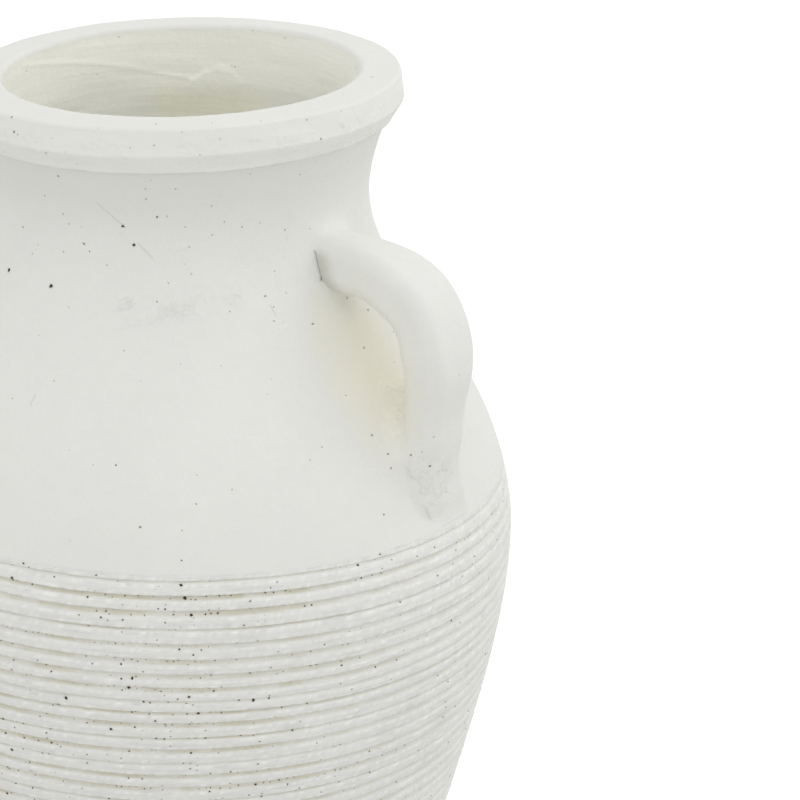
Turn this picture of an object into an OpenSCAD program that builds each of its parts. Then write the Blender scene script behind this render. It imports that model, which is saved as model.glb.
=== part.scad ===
// Two-handled terracotta vase, thrown in sections and luted together, with a limewashed skin.
// The axis is Z, the foot stands on Z = 0 and the two handles lie along X.

/* [Body] */
// Widest diameter of the body
belly_d = 240; // [216:1:270]
// Height of the widest point above the table
belly_rise = 184; // [160:1:215]
// Diameter of the foot
foot_d = 152; // [130:1:180]
// Height from the widest point up to the narrowest point of the neck
shoulder_rise = 122; // [105:1:145]
// Thickness of the thrown wall
wall = 8; // [6:0.5:10]
// Thickness of the floor slab
floor_t = 11; // [8:0.5:15]

/* [Neck and rim] */
// Outer diameter of the neck at its narrowest point
neck_d = 130; // [114:1:138]
// Height from the narrowest point up to the underside of the rim
collar_rise = 23; // [19:0.5:30]
// Outer diameter of the neck where it meets the rim
collar_d = 141; // [134:0.5:146]
// Height of the rim
rim_h = 16; // [14:0.5:20]
// Outer diameter of the rim
rim_d = 151.6; // [149:0.2:160]
// Width of the rim, from its outer edge in to the opening
rim_w = 16; // [13:0.5:19]

/* [Combing] */
// Height of the combed band's upper edge above the widest point
comb_above = 26; // [14:0.5:30]
// Height of the smooth band between the table and the combed band
comb_below = 21; // [18:0.5:40]
// Distance from one groove to the next
comb_pitch = 4.95; // [4:0.05:7]
// Width of a groove at the surface
groove_w = 2.6; // [1.6:0.1:3.4]
// Depth of the deepest groove
groove_depth = 1.1; // [0.4:0.1:1.8]

/* [Handles] */
// Width of the strap, measured round the body
strap_w = 24; // [18:0.5:30]
// Thickness of the strap
strap_t = 21; // [16:0.5:24]
// Drop from the narrowest point of the neck to the middle of the strap's upper end
root_drop = 15.5; // [11:0.5:20]
// Height of the strap's lower end above the widest point
tail_above = 24.5; // [20:0.5:32]

/* [Hidden] */

// Colour of the limewash over the clay
limewash = [0.86, 0.86, 0.83];

// Smoothness of the revolved walls, and points along each curve of an outline
$fn = 96;
curve_steps = 8;
corner_steps = 5;

belly_r = belly_d / 2;
foot_r = foot_d / 2;
neck_r = neck_d / 2;
collar_r = collar_d / 2;
rim_r = rim_d / 2;
mouth_r = rim_r - rim_w;

// Heights of the stations up the outline
neck_z = belly_rise + shoulder_rise;
rim_z = neck_z + collar_rise;
top_z = rim_z + rim_h;

// The stations between the foot, the widest point and the neck, as shares of those sizes
hip_rise_share = 0.516;
hip_out_share = 0.69;
shoulder_rise_share = 0.541;
shoulder_out_share = 0.537;
// Slopes of the outline at its stations, as shares of the mean slope of their stretch
foot_slope_share = 1.5;
hip_slope_share = 0.98;
shoulder_slope_share = 1.59;
collar_slope_share = 1.75;
belly_slope = (belly_r - foot_r) / belly_rise;
shoulder_slope = (belly_r - neck_r) / shoulder_rise;
collar_slope = (collar_r - neck_r) / collar_rise;

// Each station of the outer wall is [height, radius, slope of radius over height]
STATIONS = [
    [0, foot_r, foot_slope_share * belly_slope],
    [hip_rise_share * belly_rise, foot_r + hip_out_share * (belly_r - foot_r),
        hip_slope_share * belly_slope],
    [belly_rise, belly_r, 0],
    [belly_rise + shoulder_rise_share * shoulder_rise,
        neck_r + shoulder_out_share * (belly_r - neck_r),
        -shoulder_slope_share * shoulder_slope],
    [neck_z, neck_r, 0],
    [rim_z, collar_r, collar_slope_share * collar_slope]
];

// Radius and slope of a smooth curve between stations a and b at height z
function hermite_r(a, b, z) =
    let (h = b[0] - a[0], t = (z - a[0]) / h)
    (2 * t ^ 3 - 3 * t ^ 2 + 1) * a[1] + (t ^ 3 - 2 * t ^ 2 + t) * h * a[2]
    + (3 * t ^ 2 - 2 * t ^ 3) * b[1] + (t ^ 3 - t ^ 2) * h * b[2];
function hermite_slope(a, b, z) =
    let (h = b[0] - a[0], t = (z - a[0]) / h)
    6 * (t ^ 2 - t) * (a[1] - b[1]) / h
    + (3 * t ^ 2 - 4 * t + 1) * a[2] + (3 * t ^ 2 - 2 * t) * b[2];

function station_below(z) =
    max([for (i = [0 : len(STATIONS) - 2]) if (i == 0 || STATIONS[i][0] <= z) i]);
function outer_r(z) = let (i = station_below(z)) hermite_r(STATIONS[i], STATIONS[i + 1], z);
function outer_slope(z) =
    let (i = station_below(z)) hermite_slope(STATIONS[i], STATIONS[i + 1], z);
function inner_r(z) = outer_r(z) - wall * norm([1, outer_slope(z)]);

function reverse(list) = [for (i = [len(list) - 1 : -1 : 0]) list[i]];

// Heights from a to b in equal steps no longer than wall, so that every section keeps its ends
function heights(a, b) =
    let (n = max(curve_steps, ceil((b - a) / wall)))
    [for (i = [0 : n]) a + (b - a) * i / n];

// Points of an arc about c from angle a to angle b, as [radius, height]
function arc(c, r, a, b) =
    [for (i = [0 : corner_steps]) let (t = a + (b - a) * i / corner_steps)
        c + r * [cos(t), sin(t)]];

// The joints between the thrown sections, and the true cylinder in the throat of the neck
comb_top_z = belly_rise + comb_above;
seam_drop_share = 1.16;
seam_z = neck_z - seam_drop_share * root_drop;
throat_r = neck_r - wall;
throat_bottom_z = neck_z - wall;
throat_top_z = rim_z - wall;

// The foot has a bevelled edge and a shallow recess, so that it stands on a ring
foot_bevel = 2;
foot_ring_w = 16;
foot_recess = 2;

module base() {
    color(limewash)
    rotate_extrude()
    polygon([
        [0, foot_recess],
        [foot_r - foot_ring_w - foot_recess, foot_recess],
        [foot_r - foot_ring_w, 0],
        [foot_r - foot_bevel, 0],
        [outer_r(foot_bevel), foot_bevel],
        [outer_r(floor_t), floor_t],
        [0, floor_t]
    ]);
}

// Depth of each groove in turn, as a share of the deepest: the comb's teeth are uneven
tooth_shares = [1, 0.72, 0.9, 0.55, 0.95, 0.66, 0.82];
groove_count = floor((comb_top_z - comb_below) / comb_pitch);
// Share of a groove's width that its flat bottom takes
groove_floor_share = 0.36;

// The combed side of the belly, from its lowest groove to its highest
function groove_points(i) =
    let (
        z = comb_top_z - (i + 1 / 2) * comb_pitch,
        depth = groove_depth * tooth_shares[i % len(tooth_shares)],
        lip = groove_w / 2,
        flat = groove_floor_share * groove_w / 2
    )
    [
        [outer_r(z - lip), z - lip],
        [outer_r(z - flat) - depth, z - flat],
        [outer_r(z + flat) - depth, z + flat],
        [outer_r(z + lip), z + lip]
    ];

// A rounded corner of clay inside, where the wall rises from the floor
cove = 14;
cove_c = [inner_r(floor_t + cove) - cove, floor_t + cove];

module belly() {
    inside = heights(floor_t + cove, comb_top_z);
    color(limewash)
    rotate_extrude()
    polygon(concat(
        arc(cove_c, cove, -90, 0),
        [for (i = [1 : len(inside) - 1]) [inner_r(inside[i]), inside[i]]],
        [[outer_r(comb_top_z), comb_top_z]],
        [for (i = [0 : groove_count - 1]) each reverse(groove_points(i))],
        [[outer_r(floor_t), floor_t]]
    ));
}

// A smooth thrown section between two heights, with the inner outline given
module section(bottom_z, top_z, inside) {
    rotate_extrude()
    polygon(concat(inside, [for (z = reverse(heights(bottom_z, top_z))) [outer_r(z), z]]));
}

module shoulder() {
    color(limewash)
    section(comb_top_z, seam_z, [for (z = heights(comb_top_z, seam_z)) [inner_r(z), z]]);
}

// The inner wall narrows from the seam into the throat, then runs straight up
throat_entry = [seam_z, inner_r(seam_z), outer_slope(seam_z)];
throat_start = [throat_bottom_z, throat_r, 0];
// The inside of the rim flares from the throat to the mouth
lip_radius = 4.5;
flare_bottom = [throat_top_z, throat_r, 0];
flare_slope_share = 1.2;
flare_h = top_z - lip_radius - throat_top_z;
flare_top = [top_z - lip_radius, mouth_r, flare_slope_share * (mouth_r - throat_r) / flare_h];

module neck() {
    color(limewash)
    section(seam_z, rim_z, concat(
        [for (z = heights(seam_z, throat_bottom_z)) [hermite_r(throat_entry, throat_start, z), z]],
        [for (z = heights(throat_top_z, rim_z)) [hermite_r(flare_bottom, flare_top, z), z]]
    ));
}

// The rim is a rolled collar: a bevelled underside, an outer face that leans in, rounded corners
rim_underside_h = 6.3;
rim_face_lean = 1.4;
rim_edge_radius = 3.2;
rim_fall = 0.5;
lip_start_angle = 165;
edge_start_angle = 80;
edge_end_angle = 8;

module rim() {
    lip_c = [mouth_r + lip_radius, top_z - lip_radius];
    edge_c = [rim_r - rim_face_lean - rim_edge_radius, top_z - rim_fall - rim_edge_radius];
    color(limewash)
    rotate_extrude()
    polygon(concat(
        [for (z = heights(rim_z, flare_top[0])) [hermite_r(flare_bottom, flare_top, z), z]],
        arc(lip_c, lip_radius, lip_start_angle, 90),
        arc(edge_c, rim_edge_radius, edge_start_angle, edge_end_angle),
        [[rim_r, rim_z + rim_underside_h], [collar_r, rim_z]]
    ));
}

// The strap of a handle follows one curve from the neck to the shoulder, in the plane of X and Z
strap_sections = 40;
strap_sides = 28;
root_z = neck_z - root_drop;
tail_z = belly_rise + tail_above;

// Along the strap, from 0 at its root to 1 at its tail, a share of its width or thickness comes or goes.
// It is narrower at the root. A thumb has pressed its outer side flatter above the foot, and the foot
// runs out to a thin tip. The inner side swells to fill the corner between the strap and the shoulder.
root_narrow_share = 0.2;
root_reach_share = 0.24;
press_share = 0.36;
press_start_share = 0.55;
press_end_share = 0.78;
tip_thin_share = 0.62;
tip_start_share = 0.8;
foot_narrow_share = 0.4;
foot_start_share = 0.7;
fill_share = 0.7;
fill_start_share = 0.6;
fill_end_share = 0.82;

function ramp(t, a, b) = let (u = max(0, min(1, (t - a) / (b - a)))) u * u * (3 - 2 * u);
function outer_half(t) =
    strap_t / 2 * (1 - press_share * ramp(t, press_start_share, press_end_share))
    * (1 - tip_thin_share * ramp(t, tip_start_share, 1));
function inner_half(t) =
    strap_t / 2 * (1 + fill_share * ramp(t, fill_start_share, fill_end_share));
function half_width(t) =
    strap_w / 2 * (1 - root_narrow_share * (1 - ramp(t, 0, root_reach_share)))
    * (1 - foot_narrow_share * ramp(t, foot_start_share, 1));

// Both ends lie inside the outline of the body, the tail just under its skin
root_sink_share = 0.95;
tail_cover = 0.4;
strap_root = [outer_r(root_z) - root_sink_share * wall, root_z];
strap_tail = [outer_r(tail_z) - outer_half(1) - tail_cover, tail_z];
strap_span = strap_tail - strap_root;
elbow_shares = [1.345, -0.135];
leg_shares = [0.885, 0.367];
strap_elbow = strap_root + [elbow_shares[0] * strap_span[0], elbow_shares[1] * strap_span[1]];
strap_leg = strap_root + [leg_shares[0] * strap_span[0], leg_shares[1] * strap_span[1]];

function strap_point(t) =
    (1 - t) ^ 3 * strap_root + 3 * (1 - t) ^ 2 * t * strap_elbow
    + 3 * (1 - t) * t ^ 2 * strap_leg + t ^ 3 * strap_tail;
function strap_heading(t) =
    let (d = (1 - t) ^ 2 * (strap_elbow - strap_root) + 2 * (1 - t) * t * (strap_leg - strap_elbow)
        + t ^ 2 * (strap_tail - strap_leg))
    d / norm(d);

// The section is an oval with slightly flat sides
oval_power = 0.86;
function flat_sine(a) = sign(sin(a)) * abs(sin(a)) ^ oval_power;
function flat_cosine(a) = sign(cos(a)) * abs(cos(a)) ^ oval_power;
function strap_ring(t) =
    let (p = strap_point(t), d = strap_heading(t), out = [-d[1], d[0]])
    [for (k = [0 : strap_sides - 1])
        let (
            a = 360 * k / strap_sides,
            thick = (sin(a) > 0 ? outer_half(t) : inner_half(t)) * flat_sine(a),
            across = half_width(t) * flat_cosine(a)
        )
        [p[0] + out[0] * thick, across, p[1] + out[1] * thick]];

module strap() {
    rings = [for (j = [0 : strap_sections]) each strap_ring(j / strap_sections)];
    last = strap_sections * strap_sides;
    sides = [for (j = [0 : strap_sections - 1], k = [0 : strap_sides - 1])
        let (a = j * strap_sides + k, b = j * strap_sides + (k + 1) % strap_sides)
        each [[a, b + strap_sides, b], [a, a + strap_sides, b + strap_sides]]];
    root_cap = [for (k = [1 : strap_sides - 2]) [0, k, k + 1]];
    tail_cap = [for (k = [1 : strap_sides - 2]) [last, last + k + 1, last + k]];
    polyhedron(rings, concat(sides, root_cap, tail_cap));
}

// The strap with the body's own outline cut away, so that it seats on the wall face to face
module handle() {
    color(limewash)
    difference() {
        strap();
        rotate_extrude()
        polygon(concat(
            [[0, belly_rise]],
            [for (z = heights(belly_rise, comb_top_z)) [outer_r(z), z]],
            [for (z = heights(comb_top_z, seam_z)) [outer_r(z), z]],
            [for (z = heights(seam_z, rim_z)) [outer_r(z), z]],
            [[0, rim_z]]
        ));
    }
}

module handle_right() {
    handle();
}

module handle_left() {
    mirror([1, 0, 0]) handle();
}

base();
belly();
shoulder();
neck();
rim();
handle_right();
handle_left();
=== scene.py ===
# %% [markdown]
# # A limewashed terracotta vase, combed and handled
#
# The real vase is thrown on a wheel in sections, combed while the clay is leather hard, given two
# pulled strap handles, fired, and then brushed with a thin chalky white wash. This lesson dresses
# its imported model: each thrown section gets a skin with the unevenness of hand work, the comb runs
# round the belly as a Geometry Nodes tree, the handles are poured as one soft form that flows into
# the wall, and the wash is a procedural material. Sizes are written in millimetres, as on a
# potter's drawing, and become metres only where a mesh is made.

# %% Open the frame
import math

import bpy
import numpy as np
from mathutils import Matrix, Vector
from mathutils.bvhtree import BVHTree


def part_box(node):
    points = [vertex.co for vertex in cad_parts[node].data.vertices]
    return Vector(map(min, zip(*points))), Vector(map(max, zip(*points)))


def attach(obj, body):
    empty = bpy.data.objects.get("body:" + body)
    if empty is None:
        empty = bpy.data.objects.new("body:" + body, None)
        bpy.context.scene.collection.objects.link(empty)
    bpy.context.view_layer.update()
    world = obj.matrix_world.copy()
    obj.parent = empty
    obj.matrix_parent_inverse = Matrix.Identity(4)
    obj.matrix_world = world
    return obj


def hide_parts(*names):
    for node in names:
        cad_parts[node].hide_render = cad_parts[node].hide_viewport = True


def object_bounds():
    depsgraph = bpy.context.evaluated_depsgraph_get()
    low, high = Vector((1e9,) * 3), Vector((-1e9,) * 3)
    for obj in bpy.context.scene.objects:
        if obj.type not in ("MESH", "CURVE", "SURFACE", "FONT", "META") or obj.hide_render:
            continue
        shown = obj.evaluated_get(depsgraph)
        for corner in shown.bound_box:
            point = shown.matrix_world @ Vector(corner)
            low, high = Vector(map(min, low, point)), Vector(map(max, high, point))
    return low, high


MM = 0.001
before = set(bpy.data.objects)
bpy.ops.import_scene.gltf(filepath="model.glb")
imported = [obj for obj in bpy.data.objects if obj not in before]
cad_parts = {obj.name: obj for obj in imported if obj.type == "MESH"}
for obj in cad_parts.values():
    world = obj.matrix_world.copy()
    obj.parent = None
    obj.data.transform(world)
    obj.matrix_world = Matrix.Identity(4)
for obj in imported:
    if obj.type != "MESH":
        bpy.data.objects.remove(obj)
cad_low, cad_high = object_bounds()
print("the packed vase measures", [round(x / MM, 1) for x in cad_high - cad_low], "mm")

# %% [markdown]
# ## Camera
#
# The picture looks down a little on the neck from about a metre away, through a long lens, with the
# vase running out of the frame at the left and at the bottom. A camera can be placed by eye or be
# worked out from the ellipses of the rim and of the combing, whose widths and heights tell the
# distance and the pitch. The second way was chosen, so the values below are one place, one heading,
# one pitch and one small roll. The lens isn't shifted.

# %% Camera
PICTURE = 800
SENSOR_MM = 36
LENS_MM = 136.76
CAMERA_PLACE_MM = (642.8, -766.0, 598.8)
HEADING = math.radians(-35.488)
PITCH = math.radians(20.304)
ROLL = math.radians(-2.690)


def camera_axes(heading, pitch, roll):
    """Right, down and forward of a camera that is turned, tipped down and rolled."""
    forward = Vector((math.sin(heading) * math.cos(pitch), math.cos(heading) * math.cos(pitch),
                      -math.sin(pitch)))
    right = Vector((math.cos(heading), -math.sin(heading), 0))
    down = forward.cross(right)
    return (right * math.cos(roll) + down * math.sin(roll),
            down * math.cos(roll) - right * math.sin(roll), forward)


RIGHT, DOWN, FORWARD = camera_axes(HEADING, PITCH, ROLL)
lens = bpy.data.cameras.new("camera")
lens.lens, lens.sensor_width = LENS_MM, SENSOR_MM
camera = bpy.data.objects.new("camera", lens)
turn = Matrix((RIGHT, -DOWN, -FORWARD)).transposed()
camera.matrix_world = Matrix.Translation(Vector(CAMERA_PLACE_MM) * MM) @ turn.to_4x4()
bpy.context.scene.collection.objects.link(camera)
bpy.context.scene.camera = camera
print("the lens covers", round(2 * math.degrees(math.atan(SENSOR_MM / 2 / LENS_MM)), 2), "degrees")

# %% [markdown]
# ## Sums with nodes
#
# The sky, the floor, the limewash and the comb are all trees of nodes, and most of their nodes are
# plain sums. Added one by one they hide what is reckoned. So what comes out of a node is wrapped
# here, and a sum that is written with it, such as 0.5 * noise - 0.2, adds the nodes by itself. The
# trees that result are the same as if they were drawn by hand in the editor.

# %% Sums with nodes
class Wire:
    """What comes out of a node. A sum written with it adds the node that works the sum out."""

    def __init__(self, socket):
        self.socket, self.tree = socket, socket.id_data

    def __add__(self, other):
        return reckon("ADD", self, other)

    def __sub__(self, other):
        return reckon("SUBTRACT", self, other)

    def __rsub__(self, other):
        return reckon("SUBTRACT", other, self)

    def __mul__(self, other):
        return reckon("MULTIPLY", self, other)

    def __truediv__(self, other):
        return reckon("DIVIDE", self, other)

    def __abs__(self):
        return reckon("ABSOLUTE", self)

    __radd__, __rmul__ = __add__, __mul__


def add_node(tree, kind, inputs=None, **settings):
    """A new node with its settings and inputs. An input is a number, a colour or a wire."""
    node = tree.nodes.new(kind)
    for name, value in settings.items():
        setattr(node, name, value)
    for name, value in (inputs or {}).items():
        if isinstance(value, Wire):
            tree.links.new(value.socket, node.inputs[name])
        else:
            node.inputs[name].default_value = value
    return node


def wire(tree, kind, inputs=None, output=0, **settings):
    """One output of a new node."""
    return Wire(add_node(tree, kind, inputs, **settings).outputs[output])


def wires(tree, kind, inputs=None, **settings):
    """All outputs of a new node, by name."""
    return {socket.name: Wire(socket) for socket in add_node(tree, kind, inputs, **settings).outputs}


def tree_of(values):
    """The tree in which the first wire among the values lies."""
    return next(value.tree for value in values if isinstance(value, Wire))


def reckon(operation, *values, clamp=False):
    """The result of one sum on up to three values, one of them a wire."""
    return wire(tree_of(values), "ShaderNodeMath", dict(enumerate(values)),
                operation=operation, use_clamp=clamp)


def map_to(value, low, high, new_low=0.0, new_high=1.0, soft=True):
    """A value carried from one range to another, held at its ends."""
    return wire(value.tree, "ShaderNodeMapRange", {
        "Value": value, "From Min": low, "From Max": high, "To Min": new_low, "To Max": new_high},
        interpolation_type="SMOOTHSTEP" if soft else "LINEAR")


print("sums that a wire knows:", "+ - * / abs")

# %% [markdown]
# ## Light and floor
#
# White pottery is lit with large soft sources, or its faces run together. The even white sky does
# most of the work. One large lamp behind the right shoulder edges the rim and the strap, and a weaker
# one high in front fills the left side. A single strong lamp was the other choice, but it threw the
# strap's shadow into the loop, where the photograph has none. The floor and the sky look pure white
# to the camera, because the picture's ground is pure white, while the floor's own grey takes the
# shadow of the vase and throws little light back up under the belly.

# %% Light and floor
SKY_STRENGTH = 0.85
FLOOR_SIZE_MM = 9000
FLOOR_COLOUR = (0.77, 0.77, 0.765, 1)
FLOOR_GLOW = 0.36
# Each lamp: its place, how wide it is and how strong
LAMPS = {"back_lamp": ((690, 985, 1370), 1100, 3.44), "front_lamp": ((545, -650, 1640), 1100, 2.1)}


def seen_directly(tree):
    """1 on rays from the camera, in a mirror or through glass, and 0 on rays that carry light."""
    path = wires(tree, "ShaderNodeLightPath")
    first = reckon("MAXIMUM", path["Is Camera Ray"], path["Is Glossy Ray"])
    return reckon("MAXIMUM", first, path["Is Transmission Ray"])


def light_the_sky():
    """An even white world that looks pure white where it is seen."""
    world = bpy.data.worlds.new("sky")
    world.use_nodes = True
    tree = world.node_tree
    ground = tree.nodes["Background"]
    strength = map_to(seen_directly(tree), 0.0, 1.0, SKY_STRENGTH, 1.0, soft=False)
    tree.links.new(strength.socket, ground.inputs["Strength"])
    ground.inputs["Color"].default_value = (1, 1, 1, 1)
    bpy.context.scene.world = world


def hang_lamp(name, place_mm, size_mm, watts):
    """A square soft lamp at a place, turned to the middle of the vase."""
    light = bpy.data.lights.new(name, "AREA")
    light.shape, light.size, light.energy = "SQUARE", size_mm * MM, watts
    lamp = bpy.data.objects.new(name, light)
    lamp.location = Vector(place_mm) * MM
    middle = (cad_low + cad_high) / 2
    lamp.rotation_euler = (middle - lamp.location).to_track_quat("-Z", "Y").to_euler()
    bpy.context.scene.collection.objects.link(lamp)


def floor_material():
    """White that takes a shadow, with a little glow where it is seen."""
    material = bpy.data.materials.new("studio_floor")
    material.use_nodes = True
    tree = material.node_tree
    tree.nodes.clear()
    plain = wire(tree, "ShaderNodeBsdfDiffuse", {"Color": FLOOR_COLOUR})
    glow = wire(tree, "ShaderNodeEmission", {"Strength": FLOOR_GLOW})
    both = wire(tree, "ShaderNodeAddShader", {0: plain, 1: glow})
    seen = wire(tree, "ShaderNodeMixShader", {0: seen_directly(tree), 1: plain, 2: both})
    add_node(tree, "ShaderNodeOutputMaterial", {"Surface": seen})
    return material


light_the_sky()
for name, (place_mm, size_mm, watts) in LAMPS.items():
    hang_lamp(name, place_mm, size_mm, watts)
floor_mesh = bpy.data.meshes.new("floor")
half = FLOOR_SIZE_MM / 2 * MM
floor_mesh.from_pydata([(-half, -half, 0), (half, -half, 0), (half, half, 0), (-half, half, 0)],
                       [], [(0, 1, 2, 3)])
floor_mesh.materials.append(floor_material())
floor = bpy.data.objects.new("floor", floor_mesh)
bpy.context.scene.collection.objects.link(floor)
bpy.context.scene.view_settings.view_transform = "Standard"
print("sky", SKY_STRENGTH, "and", len(LAMPS), "lamps")

# %% [markdown]
# ## The outline of the wall
#
# A thrown wall is one curve turned about the axis. It could be a curve object with a Screw
# modifier, but here several pieces have to share it to a hundredth of a millimetre: the sections,
# the comb and the handles that grow out of it. So it is a function, a smooth curve through a few
# stations, each with its height, its radius and its slope, and every piece asks the same function.

# %% Outline of the wall
def height_span(node):
    """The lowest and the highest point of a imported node, in millimetres."""
    low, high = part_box(node)
    return low.z / MM, high.z / MM


def widest(node):
    """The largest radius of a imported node, in millimetres."""
    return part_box(node)[1].x / MM


FLOOR_Z, COMB_TOP_Z = height_span("belly")
SEAM_Z = height_span("shoulder")[1]
RIM_Z, TOP_Z = height_span("rim")
BELLY_R, RIM_R = widest("belly"), widest("rim")
FOOT_R, NECK_R, COLLAR_R = 76, 65, 70.5
HIP_Z, BELLY_Z, SHOULDER_Z, NECK_Z = 94.94, 184, 250, 306
HIP_R, SHOULDER_R = 106.36, 94.54
WALL = 8

# Each station is (height, radius, slope of the radius over the height)
STATIONS = [(0, FOOT_R, 0.359), (HIP_Z, HIP_R, 0.234), (BELLY_Z, BELLY_R, 0),
            (SHOULDER_Z, SHOULDER_R, -0.717), (NECK_Z, NECK_R, 0), (RIM_Z, COLLAR_R, 0.4185)]


def smooth(t):
    """A step from 0 to 1 with soft ends."""
    t = np.clip(t, 0, 1)
    return t * t * (3 - 2 * t)


def ramp(value, low, high):
    """The same step while a value goes from low to high."""
    return smooth((value - low) / (high - low))


def window(value, rise_from, rise_to, fall_from, fall_to):
    """1 over a span of values and 0 outside it, with soft ends."""
    return ramp(value, rise_from, rise_to) * (1 - ramp(value, fall_from, fall_to))


def curve_through(stations, z):
    """Radius and slope at heights z of the smooth curve through the stations."""
    z = np.asarray(z, float)
    zs, rs, ss = (np.array(column, float) for column in zip(*stations))
    i = np.clip(np.searchsorted(zs, z, side="right") - 1, 0, len(zs) - 2)
    h = zs[i + 1] - zs[i]
    t = (z - zs[i]) / h
    radius = ((2 * t**3 - 3 * t**2 + 1) * rs[i] + (t**3 - 2 * t**2 + t) * h * ss[i]
              + (3 * t**2 - 2 * t**3) * rs[i + 1] + (t**3 - t**2) * h * ss[i + 1])
    slope = (6 * (t**2 - t) * (rs[i] - rs[i + 1]) / h
             + (3 * t**2 - 4 * t + 1) * ss[i] + (3 * t**2 - 2 * t) * ss[i + 1])
    return radius, slope


def wall_radius(z):
    """The outside radius of the wall at a height."""
    return curve_through(STATIONS, z)[0]


def wall_slope(z):
    """How fast the outside radius grows with the height."""
    return curve_through(STATIONS, z)[1]


def inner_radius(z):
    """The inside of the wall, one wall's thickness in from the outside."""
    radius, slope = curve_through(STATIONS, z)
    return radius - WALL * np.sqrt(1 + slope**2)


print("the wall is", round(float(wall_radius(SEAM_Z)), 1), "mm in radius where the neck is luted on")

# %% [markdown]
# ## Unevenness
#
# No thrown wall is a true surface of revolution. The fingers leave shallow rings, the clay sags a
# little, and the wash dries in lumps. A displacement texture would do this after the mesh is made,
# but the handles need to know the very same surface, so the unevenness is a function of the angle
# and the height as well: smooth random lumps on a closed ring, at three scales. The rim was also
# luted on slightly out of level, which tips everything above the seam by a few degrees.

# %% Unevenness
LEAN = math.tan(math.radians(3.4))
LEAN_HEADING = math.radians(40)
LEAN_FROM_Z, LEAN_TO_Z = 285, 330
WALL_LAYERS = ((0.30, 9, 55, 11), (0.09, 26, 19, 12), (0.05, 12, 4.5, 13), (0.035, 90, 7, 14))


def lumps(angle, height, per_turn, tall, seed):
    """Smooth random lumps between -1 and 1, so many per turn and so many millimetres tall."""
    grid = np.random.default_rng(seed).uniform(-1, 1, (per_turn, 1024))
    u = np.asarray(angle) / (2 * math.pi) * per_turn
    v = np.asarray(height) / tall + 8
    i, j = np.floor(u).astype(int), np.floor(v).astype(int)
    fu, fv = u - i, v - j
    fu = fu**3 * (fu * (6 * fu - 15) + 10)
    fv = fv**3 * (fv * (6 * fv - 15) + 10)
    a, b = i % per_turn, (i + 1) % per_turn
    c, d = j % 1024, (j + 1) % 1024
    return ((grid[a, c] * (1 - fu) + grid[b, c] * fu) * (1 - fv)
            + (grid[a, d] * (1 - fu) + grid[b, d] * fu) * fv)


def layered(angle, height, layers):
    """Several scales of lumps together, each as (rise in millimetres, per turn, tall, seed)."""
    return sum(rise * lumps(angle, height, per_turn, tall, seed)
               for rise, per_turn, tall, seed in layers)


def wall_lumps(angle, height):
    """How far the outside stands proud of its outline, in millimetres."""
    return layered(angle, height, WALL_LAYERS)


def lean(points):
    """Tips what is above the seam, as the rim of the real vase is."""
    tipped = points.copy()
    weight = ramp(points[..., 2], LEAN_FROM_Z, LEAN_TO_Z)
    along = points[..., 0] * math.cos(LEAN_HEADING) + points[..., 1] * math.sin(LEAN_HEADING)
    tipped[..., 2] += weight * LEAN * along
    return tipped


def unlean(points):
    """Undoes lean, in two rounds."""
    level = points.copy()
    for _ in range(2):
        level[..., 2] += points[..., 2] - lean(level)[..., 2]
    return level


turn_angles = np.linspace(0, 2 * math.pi, 360)
print("the shoulder is uneven by", round(float(np.ptp(wall_lumps(turn_angles, SHOULDER_Z))), 2), "mm")

# %% [markdown]
# ## Places read off the picture
#
# The smooth wall carries what the hand left: a smear, a scratch of a tool, a torn scab of clay. They
# are set where the photograph shows them. A picture could be projected on the mesh to find them, but
# a few listed pixel coordinates are enough, since the camera is known: each one is a ray, and
# the ray meets the turned wall at one height and one angle.

# %% Places read off the picture
PIXELS_PER_SLOPE = PICTURE * LENS_MM / SENSOR_MM
# The stretch of a ray that can meet the vase, in millimetres, and the number of points on it
RAY_SPAN = (850, 1300, 3000)


def ray_through(across, down):
    """The direction of the ray through a point of the picture."""
    side = (across - PICTURE / 2) / PIXELS_PER_SLOPE
    drop = (down - PICTURE / 2) / PIXELS_PER_SLOPE
    return (FORWARD + RIGHT * side + DOWN * drop).normalized()


def along_ray(across, down):
    """Points along the ray through a point of the picture, and their distance from the axis."""
    way = np.array(ray_through(across, down))
    points = unlean(np.array(CAMERA_PLACE_MM) + np.linspace(*RAY_SPAN)[:, None] * way)
    return points, np.hypot(points[:, 0], points[:, 1])


def first_hit(points, hit):
    """Angle and height of the first point of a ray that hits."""
    x, y, z = points[hit.argmax()]
    return math.atan2(y, x), z


def on_skin(across, down):
    """Angle and height where a ray through the picture meets the outside of the wall."""
    points, out = along_ray(across, down)
    return first_hit(points, out < wall_radius(np.clip(points[:, 2], 0, RIM_Z)))


def in_mouth(across, down):
    """Angle and height where a ray that goes in at the mouth meets the far inside of the neck."""
    points, out = along_ray(across, down)
    through = out > throat_radius(np.clip(points[:, 2], SEAM_Z, RIM_Z))
    inside_yet = np.maximum.accumulate((points[:, 2] < TOP_Z) & ~through)
    return first_hit(points, inside_yet & through)


def stroke(angle, height, path, half_width, radius):
    """1 on a path of (angle, height) and 0 a half width away from it, with a soft side."""
    gap = np.full(np.shape(angle), 1e3)
    for (a0, z0), (a1, z1) in zip(path, path[1:]):
        across = (np.asarray(angle) - a0 + math.pi) % (2 * math.pi) - math.pi
        u, v = across * radius, height - z0
        du, dv = ((a1 - a0 + math.pi) % (2 * math.pi) - math.pi) * radius, z1 - z0
        share = np.clip((u * du + v * dv) / (du * du + dv * dv), 0, 1)
        gap = np.minimum(gap, np.hypot(u - share * du, v - share * dv))
    return 1 - smooth(gap / half_width)


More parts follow.
